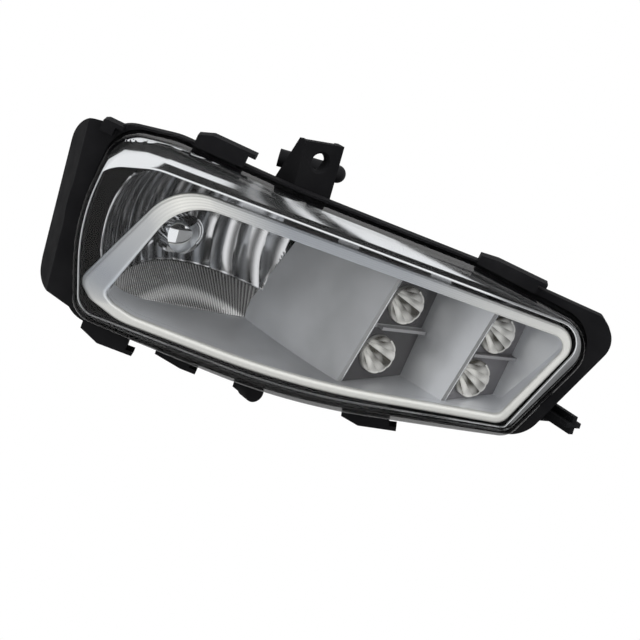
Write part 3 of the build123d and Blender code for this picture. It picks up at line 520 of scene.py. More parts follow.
CONTACT_BRASS, contact = new_finish("contact_brass_finish", (0.8, 0.66, 0.34), 0.25, metallic=1.0)
vary_roughness(CONTACT_BRASS, contact, per_metre=400.0, low=0.18, high=0.32)
dress(CONTACT_BRASS, "bulb_terminals", "connector_pins")

SCREW_STEEL, steel = new_finish("screw_steel_finish", (0.6, 0.61, 0.63), 0.3, metallic=1.0)
vary_roughness(SCREW_STEEL, steel, per_metre=500.0, low=0.22, high=0.38)
dress(SCREW_STEEL, "panel_screws", "bulb_filament")

# %% [markdown]
# ## The clear cover
# The cover is a shallow dome with a rounded edge and a short wall that goes into the housing.
# It is drawn as one closed surface: from the middle of the outer dome outwards, over the edge,
# down the wall, round the rear lip, and back up the inside. Along the outline every row has the
# same number of points, so the surface is a plain grid with a pole at each end.

# %% Cover shape
LENS_EDGE = [
    (-141.5, -8.0, 120.0),
    (-131.0, 48.4, 20.0),
    (-97.0, 50.0, 40.0),
    (-26.0, 39.4, 200.0),
    (80.0, 28.8, 100.0),
    (159.5, 11.8, 20.0),
    (122.5, -57.8, 13.0),
    (0.0, -72.6, 400.0),
    (-129.5, -60.4, 16.0),
]
CROWN_RADIUS = 800.0
CROWN_X, CROWN_Z = 8.0, -8.0
LENS_APEX = 25.0
LENS_WALL = 2.5
LENS_REAR = 8.0
LENS_ROUND = 6.0
LENS_DRAFT = 1.8
RIM_FRONT = 3.0
NOSE_DEPTH = RIM_FRONT + LENS_APEX + LENS_WALL
COVER_RINGS, COVER_BEND = 40, 9
cover_edge = rounded_outline(LENS_EDGE, per_arc=24, per_run=24)
cover_out = outward(cover_edge)
print("cover outline in mm:", np.ptp(cover_edge, axis=0).round(1))


def crown_depth(x, z, apex, radius):
    """Depth of the ball-shaped front over a point: the ball's centre less its height there."""
    flat = np.square(x - CROWN_X) + np.square(z - CROWN_Z)
    return radius - apex - np.sqrt(radius * radius - flat)


def cover_skin(inset, rounding):
    """One skin of the cover as rows from its rear edge to its pole.

    The wall leans in by the draft as it comes forward. Where it would meet the ball it is cut
    short by the rounding on both sides, and a parabola joins the two cut ends. From there the
    rows shrink evenly to the middle, each point lying on the ball.
    """
    apex, radius = LENS_APEX - inset, CROWN_RADIUS - inset
    level = np.ones(len(cover_edge))

    def wall(depth):
        lean = LENS_DRAFT * np.clip(RIM_FRONT - depth, 0.0, None) / NOSE_DEPTH
        at = cover_edge - cover_out * (inset + lean)[:, None]
        return np.stack((at[:, 0], depth, at[:, 1]), axis=-1)

    corner = wall(level * -LENS_APEX / 2)
    corner = wall(crown_depth(corner[:, 0], corner[:, 2], apex, radius))
    corner = wall(crown_depth(corner[:, 0], corner[:, 2], apex, radius))
    low = wall(corner[:, 1] + rounding)
    into_x, into_z = (corner[:, [0, 2]] - cover_out * rounding).T
    high = np.stack((into_x, crown_depth(into_x, into_z, apex, radius), into_z), axis=-1)
    t = np.linspace(0.0, 1.0, COVER_BEND)[:, None, None]
    turn_rows = low * (1 - t) ** 2 + 2 * corner * t * (1 - t) + high * t**2
    share = np.linspace(1.0, 0.0, COVER_RINGS)[1:, None]
    dome_x = CROWN_X + (high[:, 0] - CROWN_X) * share
    dome_z = CROWN_Z + (high[:, 2] - CROWN_Z) * share
    dome_y = crown_depth(dome_x, dome_z, apex, radius)
    dome_rows = np.stack((dome_x, dome_y, dome_z), axis=-1)
    walls = np.stack((wall(level * LENS_REAR), wall(level * RIM_FRONT)))
    return np.concatenate((walls, turn_rows, dome_rows))


# %% [markdown]
# Light that enters the wall is trapped in it, so from outside the wall looks dark; the tone paints
# that as shade, most where the wall faces down. The tone says how clear each point is: low on the
# wall, rising over the first half of the bend, and nearly one on the dome. Both skins carry the
# same tone.

# %% Cover piece
WALL_FACING = [-1.0, -0.75, -0.5, 0.2, 1.0]
# painted shade: the wall's tint is darker where it faces down
WALL_PAINTED_TINT = [0.2, 0.3, 0.75, 0.85, 0.96]
DOME_CLEAR = 0.98
outer_skin = cover_skin(0.0, LENS_ROUND)
inner_skin = cover_skin(LENS_WALL, LENS_ROUND - LENS_WALL)
cover_points = placed(*np.moveaxis(np.concatenate((outer_skin[::-1], inner_skin)), -1, 0))
wall_painted_tint = np.interp(cover_out[:, 1], WALL_FACING, WALL_PAINTED_TINT)
bent = np.clip(np.linspace(0.0, 2.0, COVER_BEND), 0.0, 1.0)
ramp = np.concatenate(([0.0, 0.0], bent, np.ones(COVER_RINGS - 1)))[:, None]
skin_painted_tint = wall_painted_tint + (DOME_CLEAR - wall_painted_tint) * ramp
cover_tone = np.concatenate((skin_painted_tint[::-1], skin_painted_tint))[..., None]
clear_cover = grid_piece("clear_cover", cover_points, tone=cover_tone)
keep_piece(clear_cover, CLEAR_COVER, "clear_cover", "outer_lens")

# %% [markdown]
# ## The chrome bezel
# A bright band runs round under the cover: a broad slope along the top, a hairline elsewhere.
# Flat chrome mirrors one spot of the studio and looks like grey paint, so the slope is drawn
# with a rounded lip and a hollow curve that steepens towards the rim. Its width at each point
# is found by looking inwards from the rim until the edge of the window is met.

# %% Bezel shape
BEZEL_WINDOW = [
    (-150.0, -120.0, 1.0),
    (-137.2, 24.5, 22.0),
    (-104.0, 31.2, 40.0),
    (149.2, 10.1, 12.0),
    (117.2, -56.6, 7.0),
    (60.0, -120.0, 1.0),
]
BEZEL_INSET = 3.2
BEZEL_RING = 0.8
BEZEL_LIP = -4.0
LIP_WIDTH = 1.5
RAMP_REACH = 14.0
RAMP_POWER = 1.6
BEZEL_WALL = 2.0
PARALLEL = 1e-9


def first_entry(start, aim, outline):
    """Distance from each start along its aim to where it enters a closed outline, or infinity.

    A ray and a side meet where start + t aim = corner + u side, and cross products give t and u.
    The ray enters where the cross product of its aim and the side is positive.
    """
    side = (np.roll(outline, -1, axis=0) - outline)[None]
    gap = outline[None] - start[:, None]
    aim = aim[:, None]
    cross = aim[..., 0] * side[..., 1] - aim[..., 1] * side[..., 0]
    safe = np.where(cross > PARALLEL, cross, 1.0)
    t = (gap[..., 0] * side[..., 1] - gap[..., 1] * side[..., 0]) / safe
    u = (gap[..., 0] * aim[..., 1] - gap[..., 1] * aim[..., 0]) / safe
    hit = (cross > PARALLEL) & (u >= 0) & (u <= 1) & (t > 0)
    return np.where(hit, t, np.inf).min(axis=1)


def bezel_depth(away):
    """Depth at a distance from the window: a quarter-round lip, then a curve that steepens."""
    bead = LIP_WIDTH / 2
    lip = bead - np.sqrt(np.clip(bead**2 - np.clip(bead - away, 0, bead) ** 2, 0, None))
    fall = np.clip((away - bead) / (RAMP_REACH - bead), 0.0, 1.0) ** RAMP_POWER
    return BEZEL_LIP + lip + (RIM_FRONT - BEZEL_LIP) * fall


def distance_to(points, outline):
    """Shortest distance from each point to a closed outline, side by side.

    The nearest place on a side is its start plus the clipped share of the way along it.
    """
    side = np.roll(outline, -1, axis=0) - outline
    gap = points[..., None, :] - outline
    share = np.sum(gap * side, axis=-1) / np.sum(side * side, axis=-1)
    gap = gap - np.clip(share, 0.0, 1.0)[..., None] * side
    return np.linalg.norm(gap, axis=-1).min(axis=-1)


print("bezel slope falls in mm:", RIM_FRONT - BEZEL_LIP)

# %% [markdown]
# The band is one closed strip: rows from the window's edge out to the rim over the front, and
# back again underneath. The rows crowd towards the window, where the lip is rounded. Where no
# window is met, the band keeps its least width and shows as a hairline.

# %% Bezel piece
BEZEL_ROWS, BEZEL_CROWD = 29, 1.4
lens_line = rounded_outline(LENS_EDGE, per_arc=36, per_run=30)
lens_out = outward(lens_line)
bezel_rim = lens_line - lens_out * BEZEL_INSET
window_line = rounded_outline(BEZEL_WINDOW, per_arc=60, per_run=2)
width = first_entry(bezel_rim, -lens_out, window_line)
width = np.where(np.isfinite(width), np.maximum(width, BEZEL_RING), BEZEL_RING)
window_edge = bezel_rim - lens_out * width[:, None]
share = np.linspace(0.0, 1.0, BEZEL_ROWS)[:, None, None] ** BEZEL_CROWD
bezel_points = window_edge + (bezel_rim - window_edge) * share
away = distance_to(bezel_points, window_edge)
front_depth = bezel_depth(away)
under = np.minimum(front_depth + BEZEL_WALL, RIM_FRONT)
back_depth = np.where(away > LIP_WIDTH, under, RIM_FRONT)
bezel_points = np.concatenate((bezel_points, bezel_points[::-1], bezel_points[:1]))
bezel_y = np.concatenate((front_depth, back_depth[::-1], front_depth[:1]))
bezel = grid_piece("bezel_band", placed(bezel_points[..., 0], bezel_y, bezel_points[..., 1]))
print("bezel width in mm:", round(width.min(), 1), "to", round(width.max(), 1))
keep_piece(bezel, BRIGHT_CHROME, "bright_chrome", "chrome_bezel")

# %% [markdown]
# ## The light guide
# The frosted frame in front of the LEDs is one bar that runs round in a closed loop and is wider
# on the slanting side. A curve with a bevel has one width all along, so the section, a rounded
# rectangle, is stretched between two outlines with matching corners instead.

# %% Guide shape
GUIDE_OUTER = [
    (-130.4, -40.5, 7.0),
    (-91.5, 25.9, 33.0),
    (147.6, 7.8, 11.5),
    (117.2, -53.8, 9.0),
    (0.0, -66.9, 500.0),
    (-104.0, -57.6, 40.0),
    (-122.3, -49.6, 9.0),
]
GUIDE_INNER = [
    (-114.8, -45.0, 4.0),
    (-86.2, 18.4, 30.0),
    (140.9, 2.4, 7.0),
    (114.2, -49.8, 6.0),
    (0.0, -62.4, 500.0),
    (-97.0, -53.4, 30.0),
    (-108.8, -49.4, 6.0),
]
GUIDE_FRONT = -2.0
GUIDE_BACK = 4.0
GUIDE_ROUND = 1.5
GUIDE_ARC, GUIDE_RUN = 24, 30


def guide_bar(round_points, flat_points):
    """Bar between two outlines: at each point the section runs from the inner edge to the outer.

    The front corners of the section are quarter circles, the back is flat. The second result is
    how far across the section each row lies.
    """
    inner = rounded_outline(GUIDE_INNER, GUIDE_ARC, GUIDE_RUN)
    outer = rounded_outline(GUIDE_OUTER, GUIDE_ARC, GUIDE_RUN)
    across = outer - inner
    width = np.linalg.norm(across, axis=1)
    across /= width[:, None]
    angle = np.linspace(0.0, np.pi / 2, round_points)
    shift = (GUIDE_ROUND * (1 - np.cos(angle)))[:, None]
    rise = GUIDE_FRONT + GUIDE_ROUND * (1 - np.sin(angle))
    flat = np.linspace(0.0, 1.0, flat_points + 2)[1:-1, None]
    middle = GUIDE_ROUND + (width - 2 * GUIDE_ROUND) * flat
    none = np.zeros((1, len(width)))
    offset = np.concatenate((none, none + shift, middle, width - shift[::-1], none + width))
    level = np.full(flat_points, GUIDE_FRONT)
    depth = np.concatenate(([GUIDE_BACK], rise, level, rise[::-1], [GUIDE_BACK]))[:, None] + none
    x = inner[:, 0] + across[:, 0] * offset
    z = inner[:, 1] + across[:, 1] * offset
    points = placed(x, depth, z)
    share = offset / width
    return np.concatenate((points, points[:1])), np.concatenate((share, share[:1]))


print("guide depth in mm:", GUIDE_BACK - GUIDE_FRONT)

# %% [markdown]
# ### Its painted light and shade
# Clear plastic that guides light is milky where much of it leaves and greyer where little does, so
# the tone paints light and shade along the loop, counted in corners: at a whole number an arc
# begins, and the fraction leads through it and along the run to the next. Bell curves across the
# section add a painted shade line in the gap near the outer edge and a painted highlight at the
# inner edge, and a sine wave adds the fine lines of the arch.


# %% Guide tone
def bell(value, place, width):
    """Bell curve about a place: e to the power of minus the square of the distance in widths."""
    return np.exp(-np.square((value - place) / width))


# lit and shaded copies of the frosted plastic, for painted light and shade along the loop
LIT_MILKY = np.array((0.84, 0.84, 0.8))
SHADED_GREY = np.array((0.31, 0.33, 0.36))
PAINTED_LIGHT_AT = [0.0, 0.2, 0.5, 0.95, 1.2, 1.4, 1.55, 1.75, 1.9, 2.1, 5.0, 6.0, 6.5, 7.0]
PAINTED_LIGHT_OF = [0.3, 0.2, 0.0, 0.3, 1.0, 0.8, 0.0, 0.05, 0.55, 0.9, 1.0, 0.8, 0.45, 0.3]
# a painted shade line in the gap near the outer edge and a painted highlight at the inner edge
PAINTED_SHADE_LINE_AT, PAINTED_HIGHLIGHT_LINE_AT, LINE_WIDTH = 0.9, 0.06, 0.05
PAINTED_SHADE_LINE, PAINTED_HIGHLIGHT_LINE = 0.45, 1.1
FINE_AT, FINE_OF, FINE_WAVE = [0.9, 1.2, 1.8, 2.0], [0.0, 0.12, 0.12, 0.0], 34.0
guide_points, guide_share = guide_bar(round_points=6, flat_points=12)
loop = np.arange(guide_points.shape[1]) / (GUIDE_ARC + GUIDE_RUN)
painted_light = np.interp(loop, PAINTED_LIGHT_AT, PAINTED_LIGHT_OF)
painted_gap_shade = 1 - PAINTED_SHADE_LINE * bell(guide_share, PAINTED_SHADE_LINE_AT, LINE_WIDTH)
painted_inner_highlight = 1 + PAINTED_HIGHLIGHT_LINE * bell(guide_share, PAINTED_HIGHLIGHT_LINE_AT, LINE_WIDTH) * (1 - painted_light)
fine_lines = 1 + np.sin(guide_share * FINE_WAVE) * np.interp(loop, FINE_AT, FINE_OF)
guide_tone = SHADED_GREY + (LIT_MILKY - SHADED_GREY) * painted_light[:, None]
guide_tone = guide_tone * (painted_gap_shade * painted_inner_highlight * fine_lines)[..., None]
print("guide tone from", guide_tone.min().round(2), "to", guide_tone.max().round(2))

# %% [markdown]
# The tone goes into a plain Principled shader, with a fine grain for the frosting. A real
# see-through guide would need far more light paths for the same look.

# %% Guide piece
FROSTED_GUIDE, frost = new_finish("frosted_guide_finish", (0.72, 0.72, 0.72), 0.3)
read_tone(FROSTED_GUIDE, frost)
grain(FROSTED_GUIDE, frost, per_metre=2500.0, depth=0.03 * MM, strength=0.3)
light_guide = grid_piece("light_guide", guide_points, tone=guide_tone)
keep_piece(light_guide, FROSTED_GUIDE, "frosted_guide", "light_guide_frame")

# %% [markdown]
# ## The LED optics
# Each LED shines through a clear optic: a small cone with a collar, and a front with rounded
# flutes that spread like a fan. The cone is turned about its axis as a profile, and the flutes
# are added to the front as arches over the angle about the fan's pivot.

# %% Optic shape
SWEEP = math.radians(35.0)
AHEAD = np.array((math.sin(SWEEP), -math.cos(SWEEP), 0.0))
ACROSS = np.array((math.cos(SWEEP), math.sin(SWEEP), 0.0))
UPRIGHT = np.array((0.0, 0.0, 1.0))
LEAN = math.tan(math.radians(14.5))
CELL_Z = -25.0
LED_RADIUS = 11.0
LED_PROUD = 3.0
LED_FLUTES = 7
FLUTE_DEPTH = 0.9
PIVOT = np.array((-17.0, 9.7))
FAN_FROM, FAN_SPAN = -1.125, 1.21
LAST_FLUTE = 0.999
OPTIC_BACK = [
    (11.0, 0.0),
    (11.0, -2.5),
    (12.0, -2.5),
    (12.0, -3.9),
    (11.0, -3.9),
    (6.0, -9.0),
    (3.2, -9.0),
    (3.2, -6.0),
    (0.0, -6.0),
]


def fluted_optic(rings, spokes):
    """Rows of (across, up, ahead) for one optic, and the place of each front point in its flute.

    The front height is an arch over the angle about the pivot, measured in flutes; behind it the
    profile's rows are circles.
    """
    angle = np.linspace(0.0, 2 * np.pi, spokes + 1)[:-1]
    radius = np.linspace(0.0, 1.0, rings)[:, None] * LED_RADIUS
    a, b = radius * np.cos(angle), radius * np.sin(angle)
    spread = np.arctan2(b - PIVOT[1], a - PIVOT[0])
    place = np.clip((spread - FAN_FROM) / FAN_SPAN, 0.0, LAST_FLUTE) * LED_FLUTES
    arch = np.sqrt(np.clip(1 - np.square(2 * (place % 1.0) - 1), 0.0, None))
    ahead = LED_PROUD - FLUTE_DEPTH * (1 - arch)
    back = np.array(OPTIC_BACK)
    back_a, back_b = back[:, :1] * np.cos(angle), back[:, :1] * np.sin(angle)
    back_h = np.broadcast_to(back[:, 1:], back_a.shape)
    front_rows = np.stack((a, b, ahead), axis=-1)
    back_rows = np.stack((back_a, back_b, back_h), axis=-1)
    return np.concatenate((front_rows, back_rows)), np.vstack((place, np.zeros_like(back_a)))


optic_rows, flute_place = fluted_optic(rings=56, spokes=216)
print("rows of an optic:", len(optic_rows), "points in a row:", optic_rows.shape[1])

# %% [markdown]
# ### Painted reflections in the flutes
# In clear plastic each flute gathers another bit of its surroundings, so the tone paints each
# flute with its own shade of painted reflection. Real refraction behind the clear cover would come
# out nearly black, because few light paths get that far.

# %% Optic tone
# light and dark ends of the painted reflections in the optics
OPTIC_REFLECTION_LIGHT = np.array((0.92, 0.91, 0.87))
OPTIC_REFLECTION_DARK = np.array((0.05, 0.045, 0.035))
FLUTE_REFLECTION_SHADES = np.array(
    (
        (0.55, 0.12, 0.5, 0.95, 0.2, 0.6, 0.9),
        (0.6, 0.0, 0.8, 0.3, 0.15, 0.55, 0.95),
    )
)
FLUTE_SLANT = 0.5
WAVE_SHADE, WAVE_PER_MM, WAVE_SHIFT = 0.22, 0.5, 2.4
RIM_RADIUS, RIM_WIDTH = 10.5, 0.5
LIT_SLANT, LIT_FROM = 0.5, 1.0
CLEAR_OPTIC, optic_shader = new_finish("clear_optic_finish", (0.8, 0.8, 0.8), 0.1, metallic=0.2)
read_tone(CLEAR_OPTIC, optic_shader)


def optic_tone(shades):
    """Tone of an optic: a painted reflection shade for each flute, darker to one side and wavy
    along it.

    The rim gets a painted highlight on the side where it catches the light.
    """
    a, b = optic_rows[..., 0], optic_rows[..., 1]
    along_fan = np.hypot(a - PIVOT[0], b - PIVOT[1])
    wave = np.sin(WAVE_PER_MM * along_fan + WAVE_SHIFT * np.floor(flute_place))
    slant = FLUTE_SLANT * (flute_place % 1.0 - 0.5)
    shade = shades[flute_place.astype(int)] + slant + WAVE_SHADE * wave
    # painted highlight on the rim
    painted_rim_highlight = bell(np.hypot(a, b), RIM_RADIUS, RIM_WIDTH) * (a - LIT_SLANT * b > LIT_FROM)
    shade = np.clip(shade * (1 - painted_rim_highlight), 0.0, 1.0)[..., None]
    return OPTIC_REFLECTION_LIGHT + (OPTIC_REFLECTION_DARK - OPTIC_REFLECTION_LIGHT) * shade


optic_tones = [optic_tone(shades) for shades in FLUTE_REFLECTION_SHADES]
print("mean tone of the optics:", [tone.mean().round(2) for tone in optic_tones])

# %% [markdown]
# The four optics share one shape. At each seat it is turned into three directions of its cell:
# across the carrier, upright, and ahead. The seats lie on the carrier, which leans, so a higher
# seat is shifted along it.

# %% Optic pieces
CELLS = [
    ((60.5, 34.0), 20.6, (-9.2, -39.7)),
    ((113.5, 30.0), 19.4, (-10.2, -37.2)),
]
number = 0
for ((deep_x, deep_y), inwards, heights), tone in zip(CELLS, optic_tones):
    for height in heights:
        number += 1
        along_plate = (height - CELL_Z) * LEAN / math.cos(SWEEP) - inwards
        middle = np.array((deep_x, deep_y, height)) + ACROSS * along_plate
        spot = middle + optic_rows @ np.stack((ACROSS, UPRIGHT, AHEAD))
        optic_points = placed(*np.moveaxis(spot, -1, 0))
        optic = grid_piece(f"led_optic_{number}", optic_points, tone=tone)
        keep_piece(optic, CLEAR_OPTIC, "clear_optic", f"led_lens_{number}")

# %% [markdown]
# ## Bright edges on the risers
# The front edge of each riser catches the light in a thin line. A sharp edge of a solid has no
# width to catch anything, so a slim bead runs along it: a small circle carried up a straight
# line that leans with the riser.

# %% Riser beads
BEAD_RADIUS = 0.3
BEAD_Y = 7.95
BEAD_SIDES, BEAD_STEPS = 16, 9
RISERS = [(33.3, -62.0, 8.0), (90.8, -56.0, 5.0)]


def leaning_bead(x, low, high):
    """Points of a bead: a circle carried between two heights, shifted sideways by the lean."""
    angle = np.linspace(0.0, 2 * np.pi, BEAD_SIDES + 1)[:-1]
    z = np.array((low, low, *np.linspace(low, high, BEAD_STEPS), high, high))[:, None]
    size = np.array((0.0, 1.0, *np.ones(BEAD_STEPS), 1.0, 0.0))[:, None] * BEAD_RADIUS
    across = x + (z - CELL_Z) * LEAN + size * np.cos(angle)
    return placed(across, BEAD_Y + size * np.sin(angle), z + 0 * angle)


for number, (x, low, high) in enumerate(RISERS, 1):
    bead = grid_piece(f"riser_bead_{number}", leaning_bead(x, low, high))
    keep_piece(bead, BRIGHT_CHROME, "bright_chrome")

# %% [markdown]
# ## The fog reflector
# The reflector is a bowl of upright facets round the bulb, cut off below by a floor of fine
# flutes that falls to the satin panel. A facet of the solid is flat across; the real ones are
# slightly pillowed, so that each mirrors a whole slice of the studio. Every column of the grid
# runs from the floor's upper edge to the top, or to the front plane where that comes sooner.

# %% Bowl shape
FOG = np.array((-102.0, 64.5, -8.0))
FOCUS_OUTBOARD, FOCUS_INBOARD, FOCUS_UP = 22.0, 16.0, 18.0
FACET_OUTBOARD, FACET_INBOARD = 11.6, 10.0
CREST_UP, CREST_AT, CREST_FALL = -22.0, 28.0, 90.0
BOWL_FROM, BOWL_TO, BOWL_TOP = -51.5, 57.0, 33.0
PILLOW = 0.8
RIPPLE, RIPPLE_OUTBOARD = 0.12, 0.2
RIPPLE_UP, RIPPLE_ACROSS, RIPPLE_SHIFT = 0.3, 0.25, 1.9
STREAK_DARK, STREAK_MORE = 0.14, 0.6
STREAK_PER_MM, STREAK_SHIFT = 0.6, 1.7
BOWL_TINT = np.array((0.97, 0.98, 1.0))
FRONT_PLANE = 57.0
RISER_EDGE = 70.8


def crest_of(across):
    """Height of the floor's upper edge: a shallow parabola about its highest place."""
    return CREST_UP - np.square(across - CREST_AT) / (4 * CREST_FALL)


def chord_of(across, pillow=0.0):
    """How far ahead a facet stands at bulb height: a chord of a parabola, with a pillow on it."""
    facet = np.where(across < 0, FACET_OUTBOARD, FACET_INBOARD)
    focus = np.where(across < 0, FOCUS_OUTBOARD, FOCUS_INBOARD)
    start = np.floor(across / facet) * facet
    share = (across - start) / facet
    chord = (np.square(start) * (1 - share) + np.square(start + facet) * share) / (4 * focus)
    return chord + pillow * 4 * share * (1 - share)


def in_lamp(across, rise, ahead):
    """Places in the lamp from distances about the bowl's deepest point along the beam.

    What would come in front of the first riser is held back to that riser's edge.
    """
    lean = (rise + FOG[2] - CELL_Z) * LEAN
    ahead = np.minimum(ahead, (RISER_EDGE + lean - ACROSS[0] * across) / AHEAD[0])
    spot = FOG + across[..., None] * ACROSS + rise[..., None] * UPRIGHT + ahead[..., None] * AHEAD
    return placed(*np.moveaxis(spot, -1, 0))


def pillowed_bowl(columns, rows):
    """Points of the bowl and its tone: a pillowed chord across, plus a parabola up.

    A slow ripple up each facet, shifted from one facet to the next, keeps its streaks uneven, and
    the tone paints darker streaks of reflection on them in turn.
    """
    across = np.linspace(BOWL_FROM, BOWL_TO, columns)
    room = (FRONT_PLANE + ACROSS[1] * across) / -AHEAD[1] - chord_of(across)
    reach = np.sqrt(np.clip(4 * FOCUS_UP * room, 0.0, None))
    low, high = np.maximum(crest_of(across), -reach), np.minimum(BOWL_TOP, reach)
    rise = low + (high - low) * np.linspace(0.0, 1.0, rows)[:, None]
    across = np.broadcast_to(across, rise.shape)
    facet = np.floor(across / np.where(across < 0, FACET_OUTBOARD, FACET_INBOARD))
    wave = np.sin(rise * RIPPLE_UP + facet * RIPPLE_SHIFT + across * RIPPLE_ACROSS)
    ripple = RIPPLE * wave * np.where(across < 0, RIPPLE_OUTBOARD, 1.0)
    ahead = chord_of(across, PILLOW) + ripple + np.square(rise) / (4 * FOCUS_UP)
    # painted reflection: dark and light streaks across each facet
    painted_streak = np.square(np.sin(across * STREAK_PER_MM + facet * STREAK_SHIFT))
    tone = (STREAK_DARK + STREAK_MORE * painted_streak)[..., None] * BOWL_TINT
    return in_lamp(across, rise, ahead), tone


bowl_points, bowl_tone = pillowed_bowl(columns=326, rows=48)
print("bowl in mm:", (np.ptp(bowl_points, axis=(0, 1)) / MM).round(1))

# %% [markdown]
# The grid is one skin, so Solidify gives it the thickness of the moulding. The creases between
# facets turn by only a few degrees and would be smoothed away, so every edge above a small angle
# is marked sharp.


# %% Bowl piece
def thicken(piece, name, thickness):
    """Solidify modifier that grows a skin away from the side its faces point to."""
    wall = piece.modifiers.new(name, "SOLIDIFY")
    wall.thickness = thickness
    wall.offset = -1.0


CREASE = math.radians(4.0)
BOWL_WALL = 1.6 * MM
bowl = grid_piece("reflector_bowl", bowl_points, wrap=False, tone=bowl_tone)
bowl.data.set_sharp_from_angle(angle=CREASE)
thicken(bowl, "wall", BOWL_WALL)
keep_piece(bowl, REFLECTOR_SILVER, "reflector_silver", "fog_reflector")

# %% [markdown]
# ### Its fluted floor
# The floor is a straight line from the bowl to the panel at every distance across, with arches
# along it for the flutes. A bump in the material would look the same from the front, but real
# arches also hold from the side.

# %% Floor shape
FLOOR_FRONT_UP = -41.8
FLOOR_FROM, FLOOR_TO = -48.0, 52.0
FLOOR_PITCH = 1.41
FLUTE_RISE = 0.5
FLUTE_UP, FLUTE_AHEAD = 0.8, 0.5
PANEL_EDGE, PANEL_SLANT = 35.62, 0.2002


def fluted_floor(columns, rows):
    """Points of the floor, with the share of the way down and the distance across."""
    across = np.linspace(FLOOR_FROM, FLOOR_TO, columns)
    down = np.linspace(0.0, 1.0, rows)[:, None]
    crest = crest_of(across)
    rise = crest + (FLOOR_FRONT_UP - crest) * down
    back = chord_of(across) + np.square(crest) / (4 * FOCUS_UP)
    panel_edge = PANEL_EDGE + PANEL_SLANT * across
    ahead = back + (panel_edge - back) * down
    flute = np.abs(np.sin(np.pi * across / FLOOR_PITCH)) * FLUTE_RISE
    rise, ahead = rise + flute * FLUTE_UP, ahead + flute * FLUTE_AHEAD
    return in_lamp(np.broadcast_to(across, rise.shape), rise, ahead), down, across


floor_points, floor_down, floor_across = fluted_floor(columns=711, rows=26)
print("flutes on the floor:", round((FLOOR_TO - FLOOR_FROM) / FLOOR_PITCH))

# %% [markdown]
# Its tone paints a fine line of shade between every two flutes, and a painted highlight in an arc
# where the flutes gather the light: at each distance across, a bell curve about its own share of
# the way down.

# %% Floor tone
ARC_TOP, ARC_MIDDLE, ARC_HALF, ARC_FALL, ARC_WIDTH = 0.68, 13.0, 52.0, 1.1, 0.1
ARC_BRIGHT = 1.9
LINE_DARK, LINE_BRIGHT, LINE_POWER = 0.18, 1.7, 1.5
BASE_AT, BASE_OF = [-20.0, 10.0, 45.0], [0.4, 0.38, 0.17]
arc_at = ARC_TOP + np.square((floor_across - ARC_MIDDLE) / ARC_HALF) * ARC_FALL
# painted highlight in an arc where the flutes gather the light
painted_arc_highlight = bell(floor_down, arc_at, ARC_WIDTH)
# painted shade and light in stripes with the flutes
lines = 0.5 + 0.5 * np.cos(2 * np.pi * floor_across / FLOOR_PITCH)
floor_base = np.interp(floor_across, BASE_AT, BASE_OF)
floor_tone = (floor_base + ARC_BRIGHT * painted_arc_highlight) * (LINE_DARK + LINE_BRIGHT * lines**LINE_POWER)
floor_tone = np.clip(floor_tone, 0.0, 1.0)[..., None]
print("mean tone of the floor:", floor_tone.mean().round(2))

# %% [markdown]
# The floor is a thin skin on the reflector. It is only partly metallic, so that it stays light
# where it would mirror the dark bowl.

# %% Floor piece
FLOOR_SKIN = 0.6 * MM
FLUTED_SILVER, fluted = new_finish("fluted_silver_finish", (0.5, 0.5, 0.5), 0.25, metallic=0.3)
read_tone(FLUTED_SILVER, fluted)
vary_roughness(FLUTED_SILVER, fluted, per_metre=80.0, low=0.2, high=0.3)
floor_skin = grid_piece("fluted_floor", floor_points, wrap=False, tone=floor_tone)
thicken(floor_skin, "skin", FLOOR_SKIN)
keep_piece(floor_skin, FLUTED_SILVER, "reflector_silver")

# %% [markdown]
# ## The studio
# The lamp hangs over a pale floor in a white room. Large soft lamps light it, and the white of
# the room is there for the camera, for mirrors and for clear pieces, while the light that the
# room itself sheds is kept down.

# %% Room
ROOM_GLOW = 0.55
world = bpy.data.worlds.new("white_room")
bpy.context.scene.world = world
world.use_nodes = True
room_nodes, room_links = world.node_tree.nodes, world.node_tree.links
room = room_nodes["Background"]
path = room_nodes.new("ShaderNodeLightPath")
seen = room_nodes.new("ShaderNodeMath")
seen.operation = "MAXIMUM"
seen_all = room_nodes.new("ShaderNodeMath")
seen_all.operation = "MAXIMUM"
strength = room_nodes.new("ShaderNodeMapRange")
strength.inputs["To Min"].default_value = ROOM_GLOW
strength.inputs["To Max"].default_value = 1.0
room_links.new(path.outputs["Is Camera Ray"], seen.inputs[0])
room_links.new(path.outputs["Is Glossy Ray"], seen.inputs[1])
room_links.new(seen.outputs["Value"], seen_all.inputs[0])
room_links.new(path.outputs["Is Transmission Ray"], seen_all.inputs[1])
room_links.new(seen_all.outputs["Value"], strength.inputs["Value"])
room_links.new(strength.outputs["Result"], room.inputs["Strength"])
room.inputs["Color"].default_value = (1.0, 1.0, 1.0, 1.0)
print("light that the room sheds:", ROOM_GLOW)

# %% [markdown]
# ### The floor
# The floor is a disc well below the lamp, drawn as rings about its middle, so that its soft
# shadow stays out of the picture.

# %% Floor of the studio
FLOOR_DROP = 0.45
FLOOR_RADIUS = 0.5
FLOOR_RINGS, FLOOR_SPOKES = 9, 96
around = np.linspace(0.0, 2 * np.pi, FLOOR_SPOKES + 1)[:-1]
ring = np.linspace(0.0, FLOOR_RADIUS, FLOOR_RINGS)[:, None]
disc_x = ring * np.cos(around) + LENS_MIDDLE.x
disc_y = ring * np.sin(around) + LENS_MIDDLE.y
disc_z = np.zeros_like(disc_x) + CAD_BOX[0][2] - FLOOR_DROP
floor = grid_piece("floor", np.stack((disc_x, disc_y, disc_z), axis=-1))
floor.data.materials.append(new_finish("pale_floor_finish", (0.86, 0.86, 0.86), 0.8)[0])
print("floor at", round(float(disc_z[0, 0]), 3), "m")

